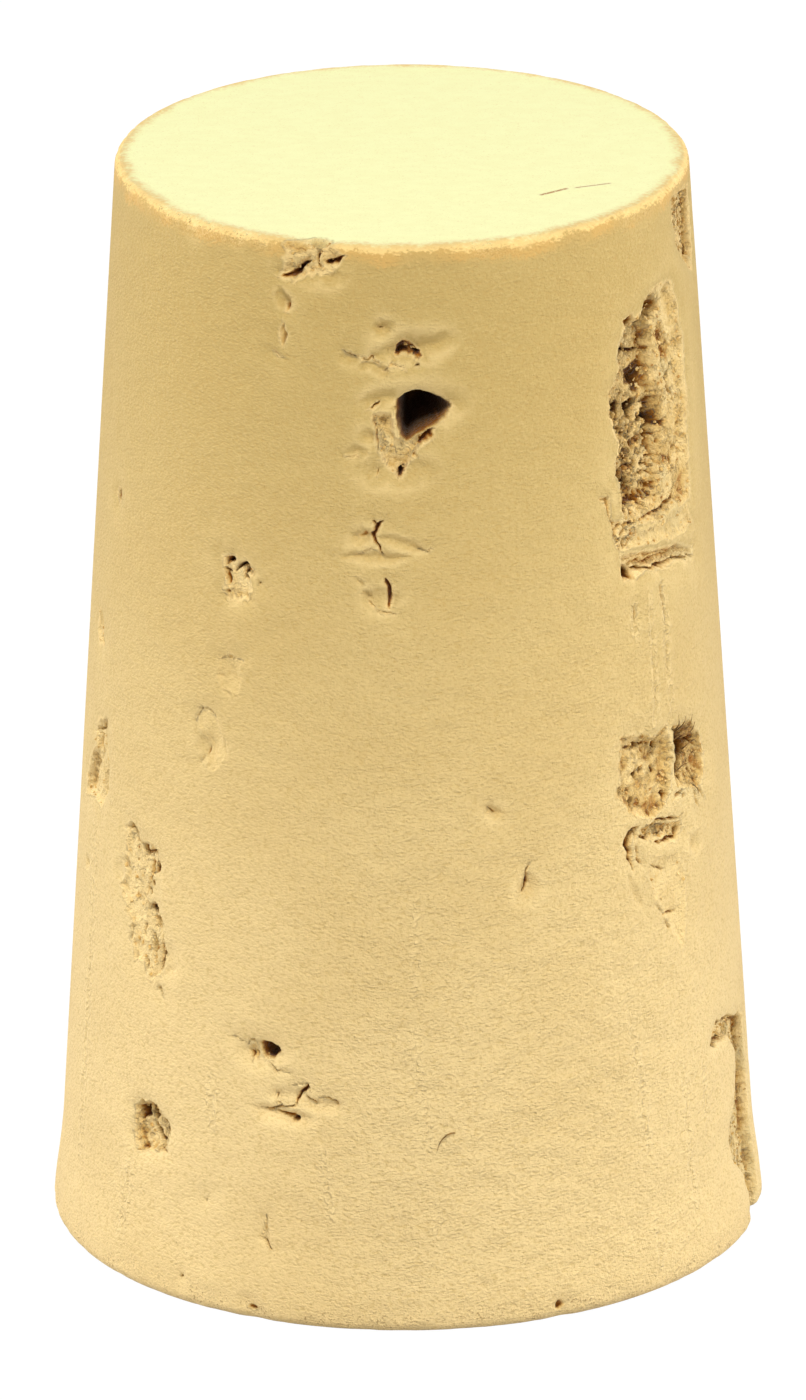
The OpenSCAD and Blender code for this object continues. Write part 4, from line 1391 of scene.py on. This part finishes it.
BLOCK_FACES = 6
loose_crumbs = run_tree(stopper, crumbs_tree(), {
    "Density": 16 / MM ** 2, "Smallest": 0.01 * MM, "Largest": 0.07 * MM, "Seed": 5,
    "Material": crumb_material()}, "loose_crumbs")
keep_piece(loose_crumbs)
print(len(loose_crumbs.data.polygons) // BLOCK_FACES, "loose crumbs")

# %% [markdown]
# ## Wisps and a stray hair
# A few fibres stand up where the middle trough tore, and one short hair is stuck near the foot. Each is a
# short line of points, given like the marks by azimuth and height, and by how far it stands off the skin.

# %% Draw the fibres as lines
FIBRES = [
    [(58, 17.6, -0.3), (58.5, 17.95, 0), (58.4, 18.3, 0.02)],
    [(59.2, 17.6, -0.3), (60.2, 17.9, 0), (61.2, 18.1, 0)],
    [(60, 17.5, -0.3), (62, 17.7, 0), (64, 18, -0.02)],
    [(61.5, 17.3, -0.3), (63.5, 17.5, -0.03), (66, 17.7, -0.1)],
    [(58.6, 17.2, -0.45), (60, 17.5, -0.15), (61.8, 17.4, -0.1)],
    [(62, 16.9, -0.3), (64.5, 17.1, -0.1), (66.5, 16.9, -0.15)],
    [(59, 16.2, -0.4), (61, 16.5, -0.15), (62.5, 16.4, -0.15)],
    [(62, 15.9, -0.3), (64, 15.6, -0.05), (65, 15.3, -0.05)],
    [(7.9, 6.5, 0), (6.7, 6.48, 0.04), (5.4, 6.25, 0.04), (4.8, 5.9, 0)],
]


def fibre_lines():
    """The fibres as bare lines in the cork's own space."""
    corners, lines = [], []
    for fibre in FIBRES:
        for azimuth, height, stand in fibre:
            angle, out = math.radians(azimuth), radius_at(height) + stand
            if corners and (azimuth, height, stand) != fibre[0]:
                lines.append((len(corners) - 1, len(corners)))
            corners.append((out * math.sin(angle) * MM, -out * math.cos(angle) * MM, height * MM))
    mesh = bpy.data.meshes.new("fibre_lines")
    mesh.from_pydata(corners, lines, [])
    made = bpy.data.objects.new("fibre_lines", mesh)
    bpy.context.collection.objects.link(made)
    return made


line_object = fibre_lines()
print(len(FIBRES), "fibres of", len(line_object.data.edges), "short lines")

# %% [markdown]
# ## A tube along each line
# This tree rounds the line, thins it to a tip and sweeps a small ring along it, which is how a curve
# becomes a tube. Five sides are enough for something a twentieth of a millimetre thick.

# %% Sweep the fibres
def fibres_tree():
    board, size = geometry_board("sweep_fibres", [
        ("Radius", "Float"), ("Points", "Int"), ("Material", "Material")])
    curve = board.node("GeometryNodeMeshToCurve", {}, {"Mesh": size["Geometry"]})
    rounded = board.node("GeometryNodeCurveSplineType", {"spline_type": "CATMULL_ROM"}, {"Curve": curve})
    even = board.node("GeometryNodeResampleCurve", {}, {"Curve": rounded, "Count": size["Points"]})
    along = board.node("GeometryNodeSplineParameter")
    taper = 1 - along * along * 0.8
    thinned = board.node("GeometryNodeSetCurveRadius", {}, {"Curve": even, "Radius": taper})
    ring = board.node("GeometryNodeCurvePrimitiveCircle", {}, {"Resolution": 5, "Radius": size["Radius"]})
    tube = board.node("GeometryNodeCurveToMesh", {}, {
        "Curve": thinned, "Profile Curve": ring, "Scale": taper, "Fill Caps": True})
    real = board.node("GeometryNodeRealizeInstances", {}, {"Geometry": tube})
    painted = board.node("GeometryNodeSetMaterial", {}, {"Geometry": real, "Material": size["Material"]})
    board.node("NodeGroupOutput", {}, {"Geometry": painted})
    return board.tree


def fibre_material():
    made, board = material_board("fibre")
    where = board.node("ShaderNodeTexCoord", out="Object")
    colour = mix(board, between(board, noise(board, where, 0.4, 2), 0.4, 0.6), FIBRE, FIBRE_SHADE)
    finish_surface(board, colour, 0.8, noise(board, where, 0.03, 2), 0.01)
    return made


fibres = run_tree(line_object, fibres_tree(), {
    "Radius": 0.022 * MM, "Points": 8, "Material": fibre_material()}, "fibres")
bpy.data.objects.remove(line_object)
keep_piece(fibres)
print(len(fibres.data.polygons), "faces on the fibres")

# %% [markdown]
# ## Floor and sky
# A white sweep under an even, weak sky. The background has to be plain white without washing the cork
# with light, so both glow only where the camera looks straight at them. The tenth of the floor that stays
# paint shows the cork's soft shadow. To every other ray the floor is a grey card, which sends a little
# light back up, and the sky is dim.

# %% The floor
MIDDLE = Vector((0, 0, 17.5 * MM))
FLOOR_PAINT = (0.45, 0.45, 0.45, 1)
FLOOR_ACROSS = 6.0
GLOW_SHARE = 0.9


def seen_by_camera(board):
    """1 where a ray comes from the camera, also by a mirror or through glass, and 0 elsewhere."""
    path = board.node("ShaderNodeLightPath", out="Is Camera Ray")
    seen = path + board.part(path, "Is Glossy Ray") + board.part(path, "Is Transmission Ray")
    return seen.maths("MINIMUM", seen, 1.0)


def stage_material():
    made, board = material_board("sweep")
    paint = board.node("ShaderNodeBsdfDiffuse", {}, {"Color": FLOOR_PAINT})
    glow = board.node("ShaderNodeEmission", {}, {"Color": (1, 1, 1, 1), "Strength": 1.1})
    both = board.node("ShaderNodeMixShader", {}, {0: seen_by_camera(board) * GLOW_SHARE, 1: paint, 2: glow})
    board.node("ShaderNodeOutputMaterial", {}, {"Surface": both})
    return made


floor_mesh = bpy.data.meshes.new("floor")
half = FLOOR_ACROSS / 2
floor_mesh.from_pydata([(-half, -half, 0), (half, -half, 0), (half, half, 0), (-half, half, 0)], [],
                       [(0, 1, 2, 3)])
floor_mesh.materials.append(stage_material())
floor = bpy.data.objects.new("floor", floor_mesh)
bpy.context.collection.objects.link(floor)
floor.location.z = cork_low.z - 0.02 * MM
print(f"The floor is {FLOOR_ACROSS:.0f} m across and lies {-floor.location.z / MM:.2f} mm under the foot")

# %% The sky
SKY_LEVEL = 0.13
scene = bpy.context.scene
scene.view_settings.view_transform = "Standard"
scene.world = bpy.data.worlds.new("sky")
scene.world.use_nodes = True
scene.world.node_tree.nodes.clear()
sky_board = Board(scene.world.node_tree)
level = SKY_LEVEL + (1 - SKY_LEVEL) * seen_by_camera(sky_board)
glow = sky_board.node("ShaderNodeBackground", {}, {"Color": (1, 1, 1, 1), "Strength": level})
sky_board.node("ShaderNodeOutputWorld", {}, {"Surface": glow})
print(f"The sky gives {SKY_LEVEL} of full light")

# %% [markdown]
# ## Soft boxes
# Relief shows when the light rakes across it. The main lamp is high in front, steep enough to shade the
# lower lip of each pore. Two strong ones stand a little behind, at the sides, and brighten the flanks. The
# rest are weak: two at the front corners, and two small ones near the floor that lift the foot. They are
# kept at the level where a colour looks as it was mixed.

# %% The lamps
def soft_box(name, place, size, share):
    """A square lamp aimed at the cork, giving `share` of full light on a face turned to it."""
    place = Vector(place)
    lamp = bpy.data.lights.new(name, "AREA")
    lamp.size = size
    lamp.energy = share * math.pi ** 2 * (place - MIDDLE).length ** 2
    made = bpy.data.objects.new(name, lamp)
    made.location = place
    made.rotation_euler = (MIDDLE - place).to_track_quat("-Z", "Y").to_euler()
    bpy.context.collection.objects.link(made)
    return made


soft_box("overhead", (-0.02, -0.2, 0.36), 0.12, 0.73)
soft_box("left_side", (-0.25, 0.07, 0.04), 0.16, 1.15)
soft_box("right_side", (0.25, 0.06, 0.05), 0.16, 0.98)
soft_box("left_front", (-0.28, -0.2, 0.12), 0.12, 0.1)
soft_box("right_front", (0.28, -0.2, 0.12), 0.12, 0.11)
soft_box("low_front", (0.01, -0.07, 0.006), 0.04, 0.44)
soft_box("low_right", (0.07, -0.03, 0.006), 0.04, 0.06)

# %% [markdown]
# ## The camera
# A long lens looks down on the cork by about twenty degrees, with the slightest roll. It aims a touch low
# and to the left of the cork's middle, which centres the cork in its frame.

# %% Place the camera
LENS_MM = 450.8
CAMERA_DISTANCE = 0.55
ELEVATION = math.radians(20.58)
ROLL = math.radians(-0.355)
AIM_LEFT = 0.07 * MM
AIM_LOW = 0.582 * MM


def place_camera():
    back = Vector((0, -math.cos(ELEVATION), math.sin(ELEVATION)))
    rise = Vector((0, math.sin(ELEVATION), math.cos(ELEVATION)))
    aim = MIDDLE + Vector((-AIM_LEFT, 0, 0)) - rise * AIM_LOW
    camera = bpy.data.cameras.new("camera")
    camera.lens, camera.sensor_width = LENS_MM, 36
    camera.clip_start, camera.clip_end = 0.01, 20
    made = bpy.data.objects.new("camera", camera)
    bpy.context.collection.objects.link(made)
    eye = MIDDLE + back * CAMERA_DISTANCE
    look = (aim - eye).to_track_quat("-Z", "Y").to_matrix().to_4x4()
    made.matrix_world = Matrix.Translation(eye) @ look @ Matrix.Rotation(ROLL, 4, "Z")
    bpy.context.scene.camera = made


place_camera()
print(f"The camera stands {CAMERA_DISTANCE} m from the cork")
